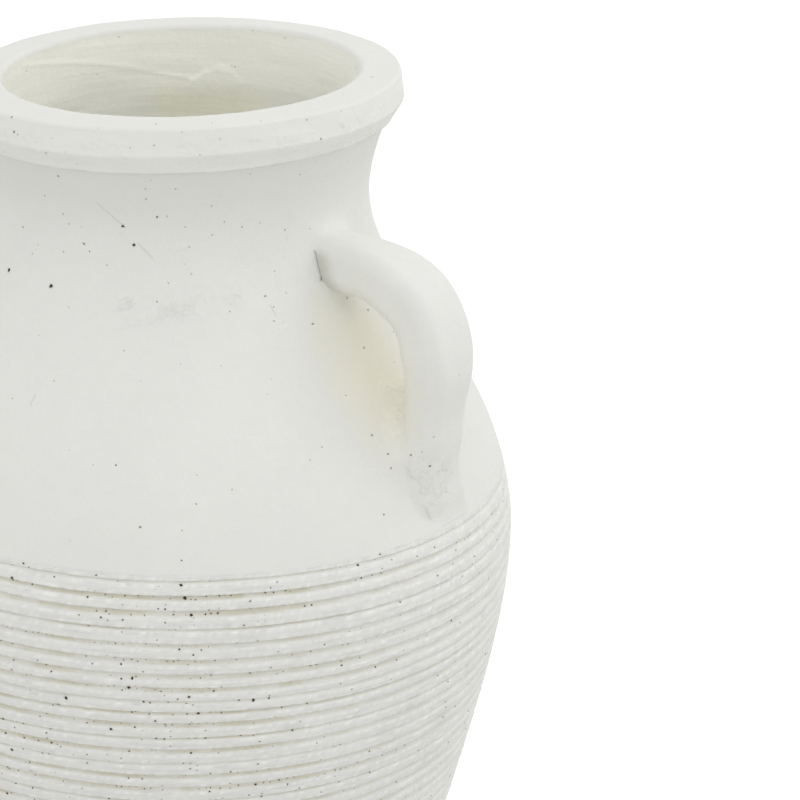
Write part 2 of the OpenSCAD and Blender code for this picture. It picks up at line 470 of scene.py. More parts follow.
# Each mark of the hand: its picture points, its half width and its rise in millimetres
HAND_MARKS = [
    ([(172, 249), (179, 248), (186, 246)], 1.3, 0.34),
    ([(105, 327), (130, 323), (160, 317)], 2.2, 0.22),
    ([(287, 222), (285, 250), (279, 282), (282, 315), (284, 322)], 1.5, -0.20),
    ([(98, 303), (99, 303)], 2.2, -0.40),
    ([(58, 366), (59, 366)], 2.0, 0.35),
]
# The torn scab beside the smear, in picture points, with its half width in millimetres
SCAB_PATH, SCAB_HALF_WIDTH = [(130, 308), (198, 299), (230, 292)], 8.5
MARK_PATHS = [([on_skin(*point) for point in path], half, rise) for path, half, rise in HAND_MARKS]
SCAB = [on_skin(*point) for point in SCAB_PATH]


def hand_marks(angle, height):
    """How far the marks of the hand stand proud of the smooth wall, in millimetres."""
    rise = 0.0
    for path, half, high in MARK_PATHS:
        rise = rise + high * stroke(angle, height, path, half, float(wall_radius(path[0][1])))
    crumbs = np.abs(lumps(angle, height, 200, 2.8, 21)) + 0.5 * lumps(angle, height, 300, 2.0, 22)
    return rise + 0.35 * scab_share(angle, height) * crumbs


def scab_share(angle, height):
    """1 in the middle of the scab and 0 outside it."""
    return smooth(stroke(angle, height, SCAB, SCAB_HALF_WIDTH, float(wall_radius(SCAB[0][1]))))


print("the scab of clay sits", round(SCAB[1][1]), "mm up the wall")

# %% [markdown]
# ## Rings of clay
#
# Each thrown section is a closed ring: outer wall, joint, inner wall and joint again. Its section is
# a closed loop of points that is carried round the axis, so the mesh is a torus of quads with no
# seam to close and no pole. Where two sections meet, their loops hold the same points, so the skin
# runs on without a step. The edges where the skin turns into a joint are sharp, which keeps the
# shading of the skin from bending towards the joint.

# %% Rings of clay
COLUMNS = 600


def profile(radius, start, end, longest):
    """Points (radius, height) of a curve from one height to another in equal steps."""
    return [(float(radius(z)), z) for z in steps(start, end, longest)]


def steps(start, end, longest):
    """Values from start to end in equal steps, none longer than the one given."""
    return np.linspace(start, end, max(2, math.ceil(abs(end - start) / longest) + 1))


def arc_points(centre, radius, start, end, count):
    """Points of an arc in the plane of radius and height, angles in degrees."""
    return [(centre[0] + radius * math.cos(math.radians(a)),
             centre[1] + radius * math.sin(math.radians(a))) for a in np.linspace(start, end, count)]


def carry_round(loop, columns, shape):
    """Points of a loop of (radius, height) carried round the axis: rows by columns by xyz."""
    loop = np.asarray(loop, float)
    a, r = np.meshgrid(np.arange(columns) * 2 * math.pi / columns, loop[:, 0])
    r, z = shape(a, r, np.repeat(loop[:, 1:], columns, 1))
    return np.stack([r * np.cos(a), r * np.sin(a), z], -1)


def both_sides(r, middle, outer_lumps, inner_lumps):
    """The radius with the lumps of its own side of the wall, whose sides part at the middle."""
    outside = smooth(r - middle)
    return r + outside * outer_lumps + (1 - outside) * inner_lumps


def new_piece(name, points, faces):
    """A smooth shaded mesh object in metres from points in millimetres."""
    mesh = bpy.data.meshes.new(name)
    mesh.from_pydata((points.reshape(-1, 3) * MM).tolist(), [], faces)
    mesh.polygons.foreach_set("use_smooth", np.ones(len(faces), bool))
    mesh.update()
    piece = bpy.data.objects.new(name, mesh)
    bpy.context.scene.collection.objects.link(piece)
    print(name, "has", sum(len(face) - 2 for face in faces), "triangles")
    return piece


def ring_quads(rows, columns):
    """Quads of a closed loop of rows by a closed turn of columns, facing out."""
    j, i = np.meshgrid(np.arange(rows), np.arange(columns), indexing="ij")
    up, on = (j + 1) % rows, (i + 1) % columns
    return np.stack([j * columns + i, j * columns + on, up * columns + on, up * columns + i],
                    -1).reshape(-1, 4)


def sharpen_rows(mesh, rows, columns):
    """Marks the edges that run round the axis along these rows as sharp."""
    ends = np.empty(2 * len(mesh.edges), np.int32)
    mesh.edges.foreach_get("vertices", ends)
    row = ends.reshape(-1, 2) // columns
    mesh.edges.foreach_set("use_edge_sharp", (row[:, 0] == row[:, 1]) & np.isin(row[:, 0], rows))


def give_points(piece, name, values):
    """Stores a number or a vector on each point of a piece, for the finish to read."""
    kind, field = ("FLOAT", "value") if np.ndim(values) == 1 else ("FLOAT_VECTOR", "vector")
    attribute = piece.data.attributes.new(name, kind, "POINT")
    attribute.data.foreach_set(field, np.asarray(values, np.float32).ravel())


def ring_piece(name, outer, inner, columns, shape, for_finish):
    """A closed ring from the outer and the inner points (radius, height) of its section. for_finish
    holds what the finish reads: one value or a value for each row, of the outer and of the inner
    points, or a function of the angle and the height."""
    loop = outer + inner
    points = lean(carry_round(loop, columns, shape))
    piece = new_piece(name, points, ring_quads(len(loop), columns).tolist())
    for value_name, values in for_finish.items():
        if callable(values):
            values = values(np.arctan2(points[..., 1], points[..., 0]), points[..., 2]).ravel()
        else:
            rows = [np.broadcast_to(value, len(part)) for value, part in zip(values, (outer, inner))]
            values = np.repeat(np.concatenate(rows), columns)
        give_points(piece, value_name, values)
    joints = [len(outer) - 1, len(outer) % len(loop), len(loop) - 1, 0]
    sharpen_rows(piece.data, joints, columns)
    return piece


def finish_piece(piece, node, material):
    """Hands a piece over: its finish, the body that it rides on and the node that it stands for."""
    piece.data.materials.clear()
    piece.data.materials.append(material)
    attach(piece, "root")
    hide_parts(node)


print("a ring has a point every", round(2 * math.pi * BELLY_R / COLUMNS, 2), "mm round the belly")

# %% [markdown]
# ## The wash
#
# Limewash is a thin chalky coat: dull, a little mottled, streaked by the brush and pierced by tiny
# holes where a bubble or a grain of sand broke it. A photograph wrapped round the vase would stretch
# and repeat, so the coat is procedural. What all the finishes share is made once as node groups, and
# each finish places them with its own values. Every pattern reads Object coordinates, so it runs on
# from the wall to the handles.

# %% Shared effects of the wash
PIT_RAGGED = 0.9 * MM
PINHOLE_RAGGED = 0.7 * MM
# The loop's warm stain and painted bounce light: its middle and its reach outward, sideways and up
STAIN_AND_BOUNCE_MIDDLE, STAIN_AND_BOUNCE_REACH = (0.088, -0.003, 0.259), (0.032, 0.026, 0.040)


def new_group(name, inputs, outputs):
    """A shader node group and its given inputs. An input is a number, or None for a vector."""
    tree = bpy.data.node_groups.new(name, "ShaderNodeTree")
    for socket, value in inputs.items():
        kind = "NodeSocketVector" if value is None else "NodeSocketFloat"
        made = tree.interface.new_socket(name=socket, in_out="INPUT", socket_type=kind)
        if value is not None:
            made.default_value = value
    for socket in outputs:
        tree.interface.new_socket(name=socket, in_out="OUTPUT", socket_type="NodeSocketFloat")
    return tree, wires(tree, "NodeGroupInput")


def noise(vector, scale, detail=2.0, roughness=0.5, output=0):
    """A noise value between 0 and 1 along a vector in metres, or its colour."""
    return wire(vector.tree, "ShaderNodeTexNoise", {
        "Vector": vector, "Scale": scale, "Detail": detail, "Roughness": roughness}, output)


def vector_sum(operation, *values, output=0, scale=None):
    """The result of one sum on vectors, at least one of them a wire."""
    inputs = dict(enumerate(values)) | ({} if scale is None else {"Scale": scale})
    return wire(tree_of(values), "ShaderNodeVectorMath", inputs, output, operation=operation)


def parts_of(vector):
    """The three parts of a vector."""
    return wires(vector.tree, "ShaderNodeSeparateXYZ", {"Vector": vector}).values()


def vector_from(tree, **parts):
    """A vector from its parts X, Y and Z. A part that isn't given is 0."""
    return wire(tree, "ShaderNodeCombineXYZ", parts)


def chalk_group():
    """Mottling and brush streaks: a tone about 0.5, and a height about 0, in millimetres."""
    tree, given = new_group("chalk_coat", {"Vector": None, "Streaks": 0.5}, ("Tone", "Height"))
    vector = given["Vector"]
    clouds = noise(vector, 34, 4, 0.55)
    patches = noise(vector, 240, 4, 0.6)
    grain = noise(vector, 1500)
    level = vector_sum("MULTIPLY", vector, (1, 1, 11))
    streak = (noise(level, 130, 3, 0.55) - 0.5) * given["Streaks"]
    add_node(tree, "NodeGroupOutput", {
        "Tone": 0.45 * clouds + 0.35 * patches + 0.20 * grain + streak,
        "Height": 0.22 * patches + 0.07 * grain + 0.18 * streak})
    return tree


def pinhole_group():
    """Scattered tiny holes on a flat place: Hole is 1 in one, and Halo also in its stained ring."""
    tree, given = new_group("pinholes", {"Vector": None, "Cells": 150.0, "Share": 0.3, "Size": 0.07},
                            ("Hole", "Halo"))
    place = given["Vector"]
    bend = vector_sum("MULTIPLY", noise(place, 1400, output="Color"), (PINHOLE_RAGGED, PINHOLE_RAGGED, 0))
    cells = wires(tree, "ShaderNodeTexVoronoi", {
        "Vector": vector_sum("ADD", place, bend), "Scale": given["Cells"]}, voronoi_dimensions="2D")
    draw = wires(tree, "ShaderNodeSeparateColor", {"Color": cells["Color"]})
    kept = reckon("LESS_THAN", draw["Red"], given["Share"])
    edge = cells["Distance"] / ((draw["Green"] + 0.3) * given["Size"])
    add_node(tree, "NodeGroupOutput", {
        "Hole": map_to(edge, 1.1, 0.75) * kept, "Halo": map_to(edge, 2.6, 0.9) * kept})
    return tree


def pit_group():
    """One placed pit with a ragged edge, from the way to it and its size in metres."""
    tree, given = new_group("pit", {"Vector": None, "Way": None, "Size": 0.0005}, ("Hole", "Halo"))
    ragged = noise(given["Vector"], 1100, output="Color")
    bend = vector_sum("SUBTRACT", vector_sum("MULTIPLY", ragged, (PIT_RAGGED,) * 3),
                      (PIT_RAGGED / 2,) * 3)
    gap = vector_sum("LENGTH", vector_sum("ADD", given["Way"], bend), output="Value")
    edge = gap / given["Size"]
    add_node(tree, "NodeGroupOutput", {"Hole": map_to(edge, 1.15, 0.8), "Halo": map_to(edge, 2.6, 0.9)})
    return tree


def scratch_group():
    """A thin straight scratch from one place to another."""
    tree, given = new_group("scratch", {"Vector": None, "Start": None, "End": None,
                                        "Half Width": 0.0002}, ("Mask",))
    ray = vector_sum("SUBTRACT", given["End"], given["Start"])
    way = vector_sum("SUBTRACT", given["Vector"], given["Start"])
    along, whole = (vector_sum("DOT_PRODUCT", line, ray, output="Value") for line in (way, ray))
    share = reckon("DIVIDE", along, whole, clamp=True)
    off = vector_sum("SUBTRACT", way, vector_sum("SCALE", ray, scale=share))
    ragged = map_to(noise(given["Vector"], 700), 0.35, 0.65, 0.4, 1.3)
    edge = vector_sum("LENGTH", off, output="Value") / (given["Half Width"] * ragged)
    add_node(tree, "NodeGroupOutput", {"Mask": map_to(edge, 1.2, 0.5)})
    return tree


def stain_and_bounce_group():
    """How much warm stain and painted bounce light is at a place: 1 in the middle of the loop."""
    tree, given = new_group("loop_stain", {"Vector": None}, ("Mask",))
    x, y, z = parts_of(given["Vector"])
    total = noise(given["Vector"], 90, 3) * 0.8 - 0.4
    for value, middle, reach in zip((abs(x), y * reckon("SIGN", x), z), STAIN_AND_BOUNCE_MIDDLE, STAIN_AND_BOUNCE_REACH):
        off = (value - middle) / reach
        total = total + off * off
    add_node(tree, "NodeGroupOutput", {"Mask": map_to(total, 1.05, 0.0)})
    return tree


CHALK, PINHOLES, PIT = chalk_group(), pinhole_group(), pit_group()
SCRATCH, STAIN_AND_BOUNCE = scratch_group(), stain_and_bounce_group()
print("shared effects:", [group.name for group in (CHALK, PINHOLES, PIT, SCRATCH, STAIN_AND_BOUNCE)])

# %% [markdown]
# ## The coat that all finishes share
#
# The colours are these: a greenish off-white where the coat is full, a greyer white where it is
# thin, ochre where it gathers in the grooves, a warm stain in the loop of the handles with painted
# bounce light in it, painted shade under the rim and beside the slit, and dark fired clay in the
# holes. The inside is painted brighter and warmer than the outside, as painted light. What sits at
# one place only, a groove, a lip or a pit, comes in as a value on the points of the mesh, so that the
# colour and the shape agree. A mask painted by hand would do the same, but not as exactly.
#
# A coat is built up in the order in which the real one came about: the white, what stained it, what
# was rubbed off, and last the holes. Each step tints the colour, moves the height, or does both.

# %% The coat that all finishes share
FULL_WHITE = (0.850, 0.855, 0.815, 1)
THIN_WHITE = (0.812, 0.818, 0.780, 1)
# Painted light: brighter and warmer than the outside coat, for light that doesn't reach the inside
INSIDE_PAINTED_LIGHT = (0.978, 0.975, 0.895, 1)
# Partly painted light: the olive run of the dip, painted as bright as the inside's painted light
OLIVE_WASH_AND_LIGHT = (0.985, 0.980, 0.815, 1)
# Painted shade beside the slit at the root and along the foot's crease
PAINTED_SHADE_OLIVE = (0.330, 0.310, 0.215, 1)
OCHRE_WASH = (0.630, 0.600, 0.440, 1)
# Partly painted highlight: the pale crumbs on the grooves' lips, painted brighter than the coat
LIP_WHITE_AND_HIGHLIGHT = (0.965, 0.965, 0.935, 1)
# Partly painted light: a warm stain, and the yellow of light bounced into the shaded loop
WARM_STAIN_AND_BOUNCE = (0.862, 0.842, 0.745, 1)
# Painted shade: the grey of the neck under the rim's ledge and of the rim's top
PAINTED_SHADE_GREY = (0.730, 0.735, 0.690, 1)
WORN_GREY = (0.690, 0.680, 0.680, 1)
# The stained ring round a pit, also the painted shade under the roofs of the grooves
HALO_AND_SHADE_BROWN = (0.520, 0.450, 0.330, 1)
# Dark fired clay in the pits and holes, also the black painted shade in the slit
DARK_CLAY_AND_SLIT_SHADE = (0.060, 0.037, 0.022, 1)
ROUGH_CHALK, DULL_SHINE = 0.85, 0.25
PIT_LAYERS = ("_a", "_b")


def skin_place(across, down):
    """The place in metres on the outside of the wall behind a point of the picture."""
    angle, z = on_skin(across, down)
    r = float(wall_radius(z) + wall_lumps(angle, z))
    return lean(np.array([r * math.cos(angle), r * math.sin(angle), z])) * MM


# Each scratch: its two ends in the picture and its half width in millimetres
SCRATCHES = [(skin_place(*start), skin_place(*end), half) for start, end, half in (
    ((97, 202), (125, 227), 0.17), ((138, 243), (153, 259), 0.24), ((287, 234), (284, 258), 0.26),
    ((280, 288), (283, 322), 0.22), ((276, 316), (270, 305), 0.15), ((36, 394), (31, 405), 0.22))]


def blend_colour(share, under, over):
    """Two colours mixed by a share."""
    return wire(share.tree, "ShaderNodeMix", {0: share, 6: under, 7: over}, 2, data_type="RGBA")


class Coat:
    """A limewash in the making: its mottled white, and a height in millimetres for its bumps."""

    def __init__(self, name, streaks, tone_range=0.24):
        self.material = bpy.data.materials.new(name)
        self.material.use_nodes = True
        self.tree = self.material.node_tree
        self.place = wire(self.tree, "ShaderNodeTexCoord", output="Object")
        chalk = self.effect(CHALK, {"Streaks": streaks})
        tone = map_to(chalk["Tone"], 0.5 - tone_range, 0.5 + tone_range)
        self.colour, self.height = blend_colour(tone, THIN_WHITE, FULL_WHITE), chalk["Height"]

    def effect(self, group, inputs=None):
        """The outputs of a shared effect with its own values."""
        inputs = {"Vector": self.place} | (inputs or {})
        return wires(self.tree, "ShaderNodeGroup", inputs, node_tree=group)

    def points(self, name, output="Fac"):
        """What is stored under this name on the points of the piece, or 0."""
        return wire(self.tree, "ShaderNodeAttribute", output=output, attribute_name=name)

    def tint(self, share, over, amount=1.0):
        """Covers the colour with another one by a share of an amount."""
        self.colour = blend_colour(reckon("MULTIPLY", share, amount, clamp=True), self.colour, over)

    def rise(self, share, millimetres):
        """Moves the height up by a share of so much."""
        self.height = share * millimetres + self.height

    def stain_and_bounce(self):
        """Adds the warm stain and the painted bounce light in the shaded loop of a strap."""
        self.tint(self.effect(STAIN_AND_BOUNCE)["Mask"], WARM_STAIN_AND_BOUNCE)

    def scratches(self):
        """Adds the scratches, each a thin grey line."""
        for start, end, half_width in SCRATCHES:
            line = self.effect(SCRATCH, {
                "Start": start, "End": end, "Half Width": half_width * MM})["Mask"]
            self.tint(line, WORN_GREY, 0.28)
            self.rise(line, -0.12)

    def pits(self):
        """Adds the pits that are placed one by one. The small ones are shallow, and so less dark."""
        for layer in PIT_LAYERS:
            size = self.points("pit_size" + layer)
            way = self.points("way_to_pit" + layer, "Vector")
            pit = self.effect(PIT, {"Way": way, "Size": size})
            depth = pit["Hole"] * map_to(size, 0.0001, 0.0005, 0.3, 1.0)
            self.tint(pit["Halo"], HALO_AND_SHADE_BROWN, 0.22)
            self.tint(depth, DARK_CLAY_AND_SLIT_SHADE)
            self.rise(depth, -0.5)

    def pinholes(self, flat_place, cells, share, size):
        """Scatters holes: so many cells a metre, the share of them with a hole, its size in cells."""
        holes = self.effect(PINHOLES, {
            "Vector": flat_place, "Cells": cells, "Share": share, "Size": size})
        self.tint(holes["Halo"], HALO_AND_SHADE_BROWN, 0.32)
        self.tint(holes["Hole"], DARK_CLAY_AND_SLIT_SHADE)
        self.rise(holes["Hole"], -0.25)

    def finished(self):
        """The material, once colour and height are joined to its shader."""
        shader = self.tree.nodes["Principled BSDF"]
        shader.inputs["Roughness"].default_value = ROUGH_CHALK
        shader.inputs["Specular IOR Level"].default_value = DULL_SHINE
        bump = wire(self.tree, "ShaderNodeBump", {"Height": self.height, "Strength": 1.0, "Distance": MM})
        self.tree.links.new(bump.socket, shader.inputs["Normal"])
        self.tree.links.new(self.colour.socket, shader.inputs["Base Color"])
        return self.material


print(len(SCRATCHES), "scratches, the longest", round(max(
    np.linalg.norm(end - start) for start, end, _ in SCRATCHES) / MM, 1), "mm")

# %% [markdown]
# ## The three finishes
#
# The picture shows three states of one wash. On the shoulder, neck and rim it is calm, with a few
# scratches and pits. On the combing it is worked: ochre lies in the grooves, shade is painted under
# their upper edges, the crumbs on their lips are paler with a painted highlight, and towards one side
# of the belly there is less ochre, painted shade and specks. On the straps it is stained inside the
# loop, with painted bounce light there, and crumbled at the foot. One material with three masks
# would do, but three short ones can each be read from top to bottom.

# %% The three finishes
# The way to the side of the belly on which the grooves carry less ochre, painted shade and specks
PALER_SIDE = (0.766, 0.643, 0)


def round_the_wall(vector):
    """A flat place on the wall: the way round it and the height, in metres."""
    x, y, z = parts_of(vector)
    return vector_from(vector.tree, X=0.1 * reckon("ARCTAN2", y, x), Y=z)


def along_the_strap(vector):
    """A flat place on a strap: across it and along it, in metres."""
    x, y, z = parts_of(vector)
    return vector_from(vector.tree, X=y, Y=abs(x) - z)


def stretched_noise(vector, flatten, scale, detail, roughness):
    """Noise whose spots are so many times flatter than they are wide."""
    return noise(vector_sum("MULTIPLY", vector, (1, 1, flatten)), scale, detail, roughness)


def smooth_finish():
    """The calm coat of shoulder, neck, rim and floor, with brighter, warmer painted light inside."""
    coat = Coat("limewash_smooth", 0.12)
    coat.stain_and_bounce()
    # Painted shade under the rim's ledge and on its top, painted light inside, and the pale olive run
    for name, over in (("corner", PAINTED_SHADE_GREY), ("inside", INSIDE_PAINTED_LIGHT), ("olive", OLIVE_WASH_AND_LIGHT)):
        coat.tint(coat.points(name), over)
    crumbs = noise(coat.place, 640, 4, 0.6)
    rough = coat.points("rough") * map_to(noise(coat.place, 120, 3), 0.44, 0.60)
    coat.rise(rough * crumbs, 0.8)
    coat.tint(rough * map_to(crumbs, 0.50, 0.66), WORN_GREY, 0.22)
    brush = (stretched_noise(coat.place, 22, 40, 4, 0.6) - 0.5) * coat.points("brushed")
    coat.rise(brush, 0.1)
    coat.tint(map_to(brush, 0.0, 0.12), WORN_GREY, 0.07)
    coat.scratches()
    coat.pits()
    coat.pinholes(round_the_wall(coat.place), 190.0, 0.03, 0.035)
    return coat.finished()


def combed_finish():
    """The worked coat of the belly: ochre in the grooves, painted shade under their roofs, pale
    crumbs with a painted highlight on their lips, grey worn streaks on the lands and dark specks
    everywhere."""
    coat = Coat("limewash_combed", 0.55, 0.2)
    groove, roof, lip, inside = (coat.points(name) for name in ("groove", "roof", "lip", "inside"))
    coat.tint(map_to(stretched_noise(coat.place, 5, 62, 5, 0.62), 0.50, 0.68), WORN_GREY, 0.45)
    fine = stretched_noise(coat.place, 26, 58, 4, 0.6)
    coat.tint(map_to(fine, 0.54, 0.64), WORN_GREY, 0.36)
    # Less ochre, painted shade and specks towards one side of the belly
    along = vector_sum("DOT_PRODUCT", coat.place, PALER_SIDE, output="Value")
    darkening = map_to(along, 0.030, 0.085, 1.0, 0.3)
    patchy = map_to(noise(coat.place, 75, 4, 0.6), 0.38, 0.62, 0.3, 1.0) * darkening
    in_groove = map_to(groove, 0.12, 0.65)
    coat.tint(in_groove * patchy, OCHRE_WASH, 0.66)
    # Painted shade under the overhanging upper wall of each groove
    broken = map_to(noise(coat.place, 420, 3, 0.6), 0.42, 0.62)
    broken = broken * map_to(stretched_noise(coat.place, 5, 38, 3, 0.5), 0.4, 0.6, 0.2, 1.0) * darkening
    coat.tint(roof * broken, HALO_AND_SHADE_BROWN, 0.5)
    # Painted highlight on the lips of the grooves, where the crumbs stand up
    coat.tint(lip, LIP_WHITE_AND_HIGHLIGHT)
    # Painted light: the inside of the belly is painted as bright as the inside of the mouth
    coat.tint(inside, INSIDE_PAINTED_LIGHT)
    gathered = map_to(noise(coat.place, 26, 3), 0.45, 0.62, 0.45, 1.8)
    share = (0.50 * in_groove + 0.08) * (1.0 - inside) * gathered * darkening
    coat.pits()
    flat_place = round_the_wall(coat.place)
    coat.pinholes(flat_place, 520.0, share, 0.11)
    coat.pinholes(flat_place, 110.0, 0.35 * share, 0.040)
    coat.rise(fine, -0.2)
    coat.rise(noise(coat.place, 560, 4, 0.65), 0.3)
    return coat.finished()


def strap_finish():
    """The coat of the handles: stained and painted with bounce light in the loop, painted shade by
    the slit and along the foot's crease, rubbed at the foot and black in the slit, partly as
    painted shade.
    """
    coat = Coat("limewash_strap", 0.0)
    coat.stain_and_bounce()
    # Painted shade: dark olive beside the slit and along the foot's crease
    coat.tint(coat.points("shade"), PAINTED_SHADE_OLIVE, 0.42)
    rough = coat.points("rough") * map_to(noise(coat.place, 210, 3), 0.42, 0.60)
    crumbs = stretched_noise(coat.place, 0.45, 620, 4, 0.65)
    coat.tint(rough * map_to(crumbs, 0.42, 0.70), OCHRE_WASH, 0.32)
    # Black in the slit: partly dark clay, partly painted shade for a crevice finer than the mesh
    slit = map_to(abs(coat.points("slit_side")), 0.75, 0.35) * coat.points("slit_near")
    coat.tint(slit, DARK_CLAY_AND_SLIT_SHADE)
    coat.rise(slit, -0.6)
    coat.rise(rough * crumbs, 0.9)
    coat.pits()
    coat.pinholes(along_the_strap(coat.place), 190.0, 0.04, 0.035)
    return coat.finished()


SKIN, COMBED_SKIN, STRAP_SKIN = smooth_finish(), combed_finish(), strap_finish()
print("finishes:", SKIN.name, COMBED_SKIN.name, STRAP_SKIN.name)

# %% [markdown]
# ## Foot and floor slab
#
# The base is a slab with a foot ring turned under it. Inside it shows only through the mouth, with
# the spiral that the fingers leave as the floor is opened. It could be a cylinder with bevels; it is
# a turned outline here too, because the ring, the recess and the spiral all follow the axis.

# %% Foot and floor slab
BASE_COLUMNS = 256
FOOT_BEVEL, FOOT_RING_W, FOOT_RECESS = 2, 16, 2
SPIRAL_STEP, SPIRAL_HEIGHT = 9, 0.5
# The radii between which the spiral rises and ends
SPIRAL_SPAN = (2, 10, 50, 64)
# How near the axis the outlines of floor and recess start, before the poles close them
POLE_R = 0.6


def spiral_floor(angle, r, z):
    """The throwing spiral on the floor inside, and a slightly uneven foot."""
    inside = smooth(z - FLOOR_Z + 1) * window(r, *SPIRAL_SPAN)
    z = z + inside * SPIRAL_HEIGHT * (np.cos(2 * math.pi * r / SPIRAL_STEP - angle) - 1)
    return r + smooth((r - 70) / 3) * wall_lumps(angle, z), z


def base_outline():
    """Half the section of the slab, from the middle of the floor round to the middle of the recess."""
    ring_r = FOOT_R - FOOT_RING_W
    return ([(r, FLOOR_Z) for r in steps(POLE_R, wall_radius(FLOOR_Z), 1.2)]
            + profile(wall_radius, FLOOR_Z, FOOT_BEVEL, 0.9)[1:]
            + [(r, 0) for r in steps(FOOT_R - FOOT_BEVEL, ring_r, 2)]
            + [(r, FOOT_RECESS) for r in steps(ring_r - FOOT_RECESS, POLE_R, 3)])


def disc_piece(name, outline, columns, shape):
    """A turned solid whose outline starts and ends at the axis, with its two poles closed."""
    rows = carry_round(outline, columns, shape)
    last, pole = (len(outline) - 1) * columns, len(outline) * columns
    turn_on = [(i, (i + 1) % columns) for i in range(columns)]
    faces = (ring_quads(len(outline), columns)[:last, ::-1].tolist()
             + [(pole, a, b) for a, b in turn_on]
             + [(pole + 1, last + b, last + a) for a, b in turn_on])
    middles = [rows[0].mean(0), rows[-1].mean(0)]
    return new_piece(name, np.concatenate([rows.reshape(-1, 3), middles]), faces)


foot = disc_piece("foot_slab", base_outline(), BASE_COLUMNS, spiral_floor)
# The floor inside takes the inside's painted light
give_points(foot, "inside", [float(v.co.z > (FLOOR_Z - 2) * MM) for v in foot.data.vertices])
finish_piece(foot, "base", SKIN)

# %% [markdown]
# ## The combed belly
#
# The potter holds a comb with uneven teeth against the turning wall and lets it climb, so the
# grooves come in bands that repeat, wander together and are deeper where the hand pressed. Carving
# each groove by hand would be hopeless, and a bump map would leave the outline smooth. A Geometry
# Nodes tree does what the comb does: it takes a blank wall whose rows know which tooth they lie
# under and how far across it, and presses each point in by that tooth's own depth, with a little
# wandering from a seeded noise. The blank is made first, as one ring for each pass of the comb.

# %% Blank for the comb
COMB_PITCH = 4.95
COMB_BOTTOM_Z = 21
GROOVE_W = 2.6
BELLY_COLUMNS = 640
# The cove that runs from the wall inside to the floor
COVE = 14
# Rows of points across one groove, from the land below it up to its upper lip
ACROSS_SHARES = [-1.9, -1.35, -1.05, -0.62, -0.15, 0.3, 0.55, 0.8, 1.02, 1.35]
# What a row says that lies under no tooth: its tooth, and a place far from any groove
NO_TOOTH, FAR_OFF = -1, 9
# The comb's teeth in turn: how deep and how wide each one cuts
TOOTH_DEPTH_SHARES = [0.40, 1.00, 0.80, 0.60, 0.65, 0.75, 0.85, 0.75, 0.40, 1.00, 0.85, 0.65, 0.80]
TOOTH_WIDTH_SHARES = [0.50, 0.80, 1.05, 0.48, 0.85, 1.05, 1.10, 1.00, 0.60, 0.62, 1.00, 0.50, 0.95]
TEETH = len(TOOTH_DEPTH_SHARES)


def blank_rows():
    """Outer rows of the belly from the floor up: (height, tooth, across)."""
    rows = [(z, NO_TOOTH, FAR_OFF) for z in steps(FLOOR_Z, COMB_BOTTOM_Z - 1, 1)]
    grooves = int((COMB_TOP_Z - COMB_BOTTOM_Z) // COMB_PITCH)
    for tooth in reversed(range(grooves)):
        centre = COMB_TOP_Z - (tooth + 0.5) * COMB_PITCH
        rows += [(centre + across * GROOVE_W / 2, tooth, across) for across in ACROSS_SHARES]
    return rows + [(COMB_TOP_Z, NO_TOOTH, FAR_OFF)]


def belly_shape(angle, r, z):
    """The unevenness of the outside, and finger rings on the inside."""
    rings = 0.5 * np.sin(z / 6.3 + 0.4 * np.sin(angle)) + 0.4 * lumps(angle, z, 9, 26, 31)
    return both_sides(r, inner_radius(z) + WALL / 2, wall_lumps(angle, z), rings), z


def inner_wall(high_z, low_z):
    """The inside of the belly from one height down to another, with the cove above the floor."""
    bend_z = FLOOR_Z + COVE
    wall = profile(inner_radius, high_z, max(low_z, bend_z), 5)
    if low_z >= bend_z:
        return wall
    cove = arc_points((float(inner_radius(bend_z)) - COVE, bend_z), COVE, 0, -90, 9)
    return wall + cove[1:]


def blank_ring(name, rows):
    """A ring with a point attribute for the tooth, the place across it and the wall's slope."""
    outer = [(float(wall_radius(z)), z) for z, _, _ in rows]
    heights, tooth, across = zip(*rows)
    return ring_piece(name, outer, inner_wall(heights[-1], heights[0]), BELLY_COLUMNS, belly_shape, {
        "inside": (0, 1), "tooth": (tooth, NO_TOOTH), "across": (across, FAR_OFF),
        "slope": (wall_slope(heights), 0)})


def blank_rings():
    """One ring of wall for each pass of the comb, cut on the lands between two passes."""
    rows = blank_rows()
    cuts = [i for i, (_, tooth, across) in enumerate(rows)
            if across == ACROSS_SHARES[0] and tooth >= 0 and (tooth + 1) % TEETH == 0]
    ends = [0] + cuts + [len(rows) - 1]
    names = ("low_combing", "middle_combing", "high_combing")
    return [blank_ring(name, rows[a:b + 1]) for name, a, b in zip(names, ends, ends[1:])]


combed_rings = blank_rings()

# %% [markdown]
# ## The comb
#
# The tree below is the comb itself. Its inputs are what a potter could change: how deep and wide the
# teeth cut, how much the hand wavers, how much clay stands up as a burr, and the seed of all
# chances. Besides moving the points it marks on each of them how deep the groove is, where its
# upper edge overhangs and where its lip crumbles, so that the finish can lay ochre, painted shade
# and pale crumbs with a painted highlight in the right places. Each ring keeps its result as a plain
# mesh.

# %% The comb as a Geometry Nodes tree
GROOVE_DEPTH = 0.8
# How much lower a land lies at its edges than in its middle
LAND_FALL = 0.24
# The hand slowed down at this tooth, counted from the top, and the grooves beside it sag by so much
SLOW_TOOTH, SLOW_SPREAD, SLOW_DROP = 6.2, 2.4, 2.1


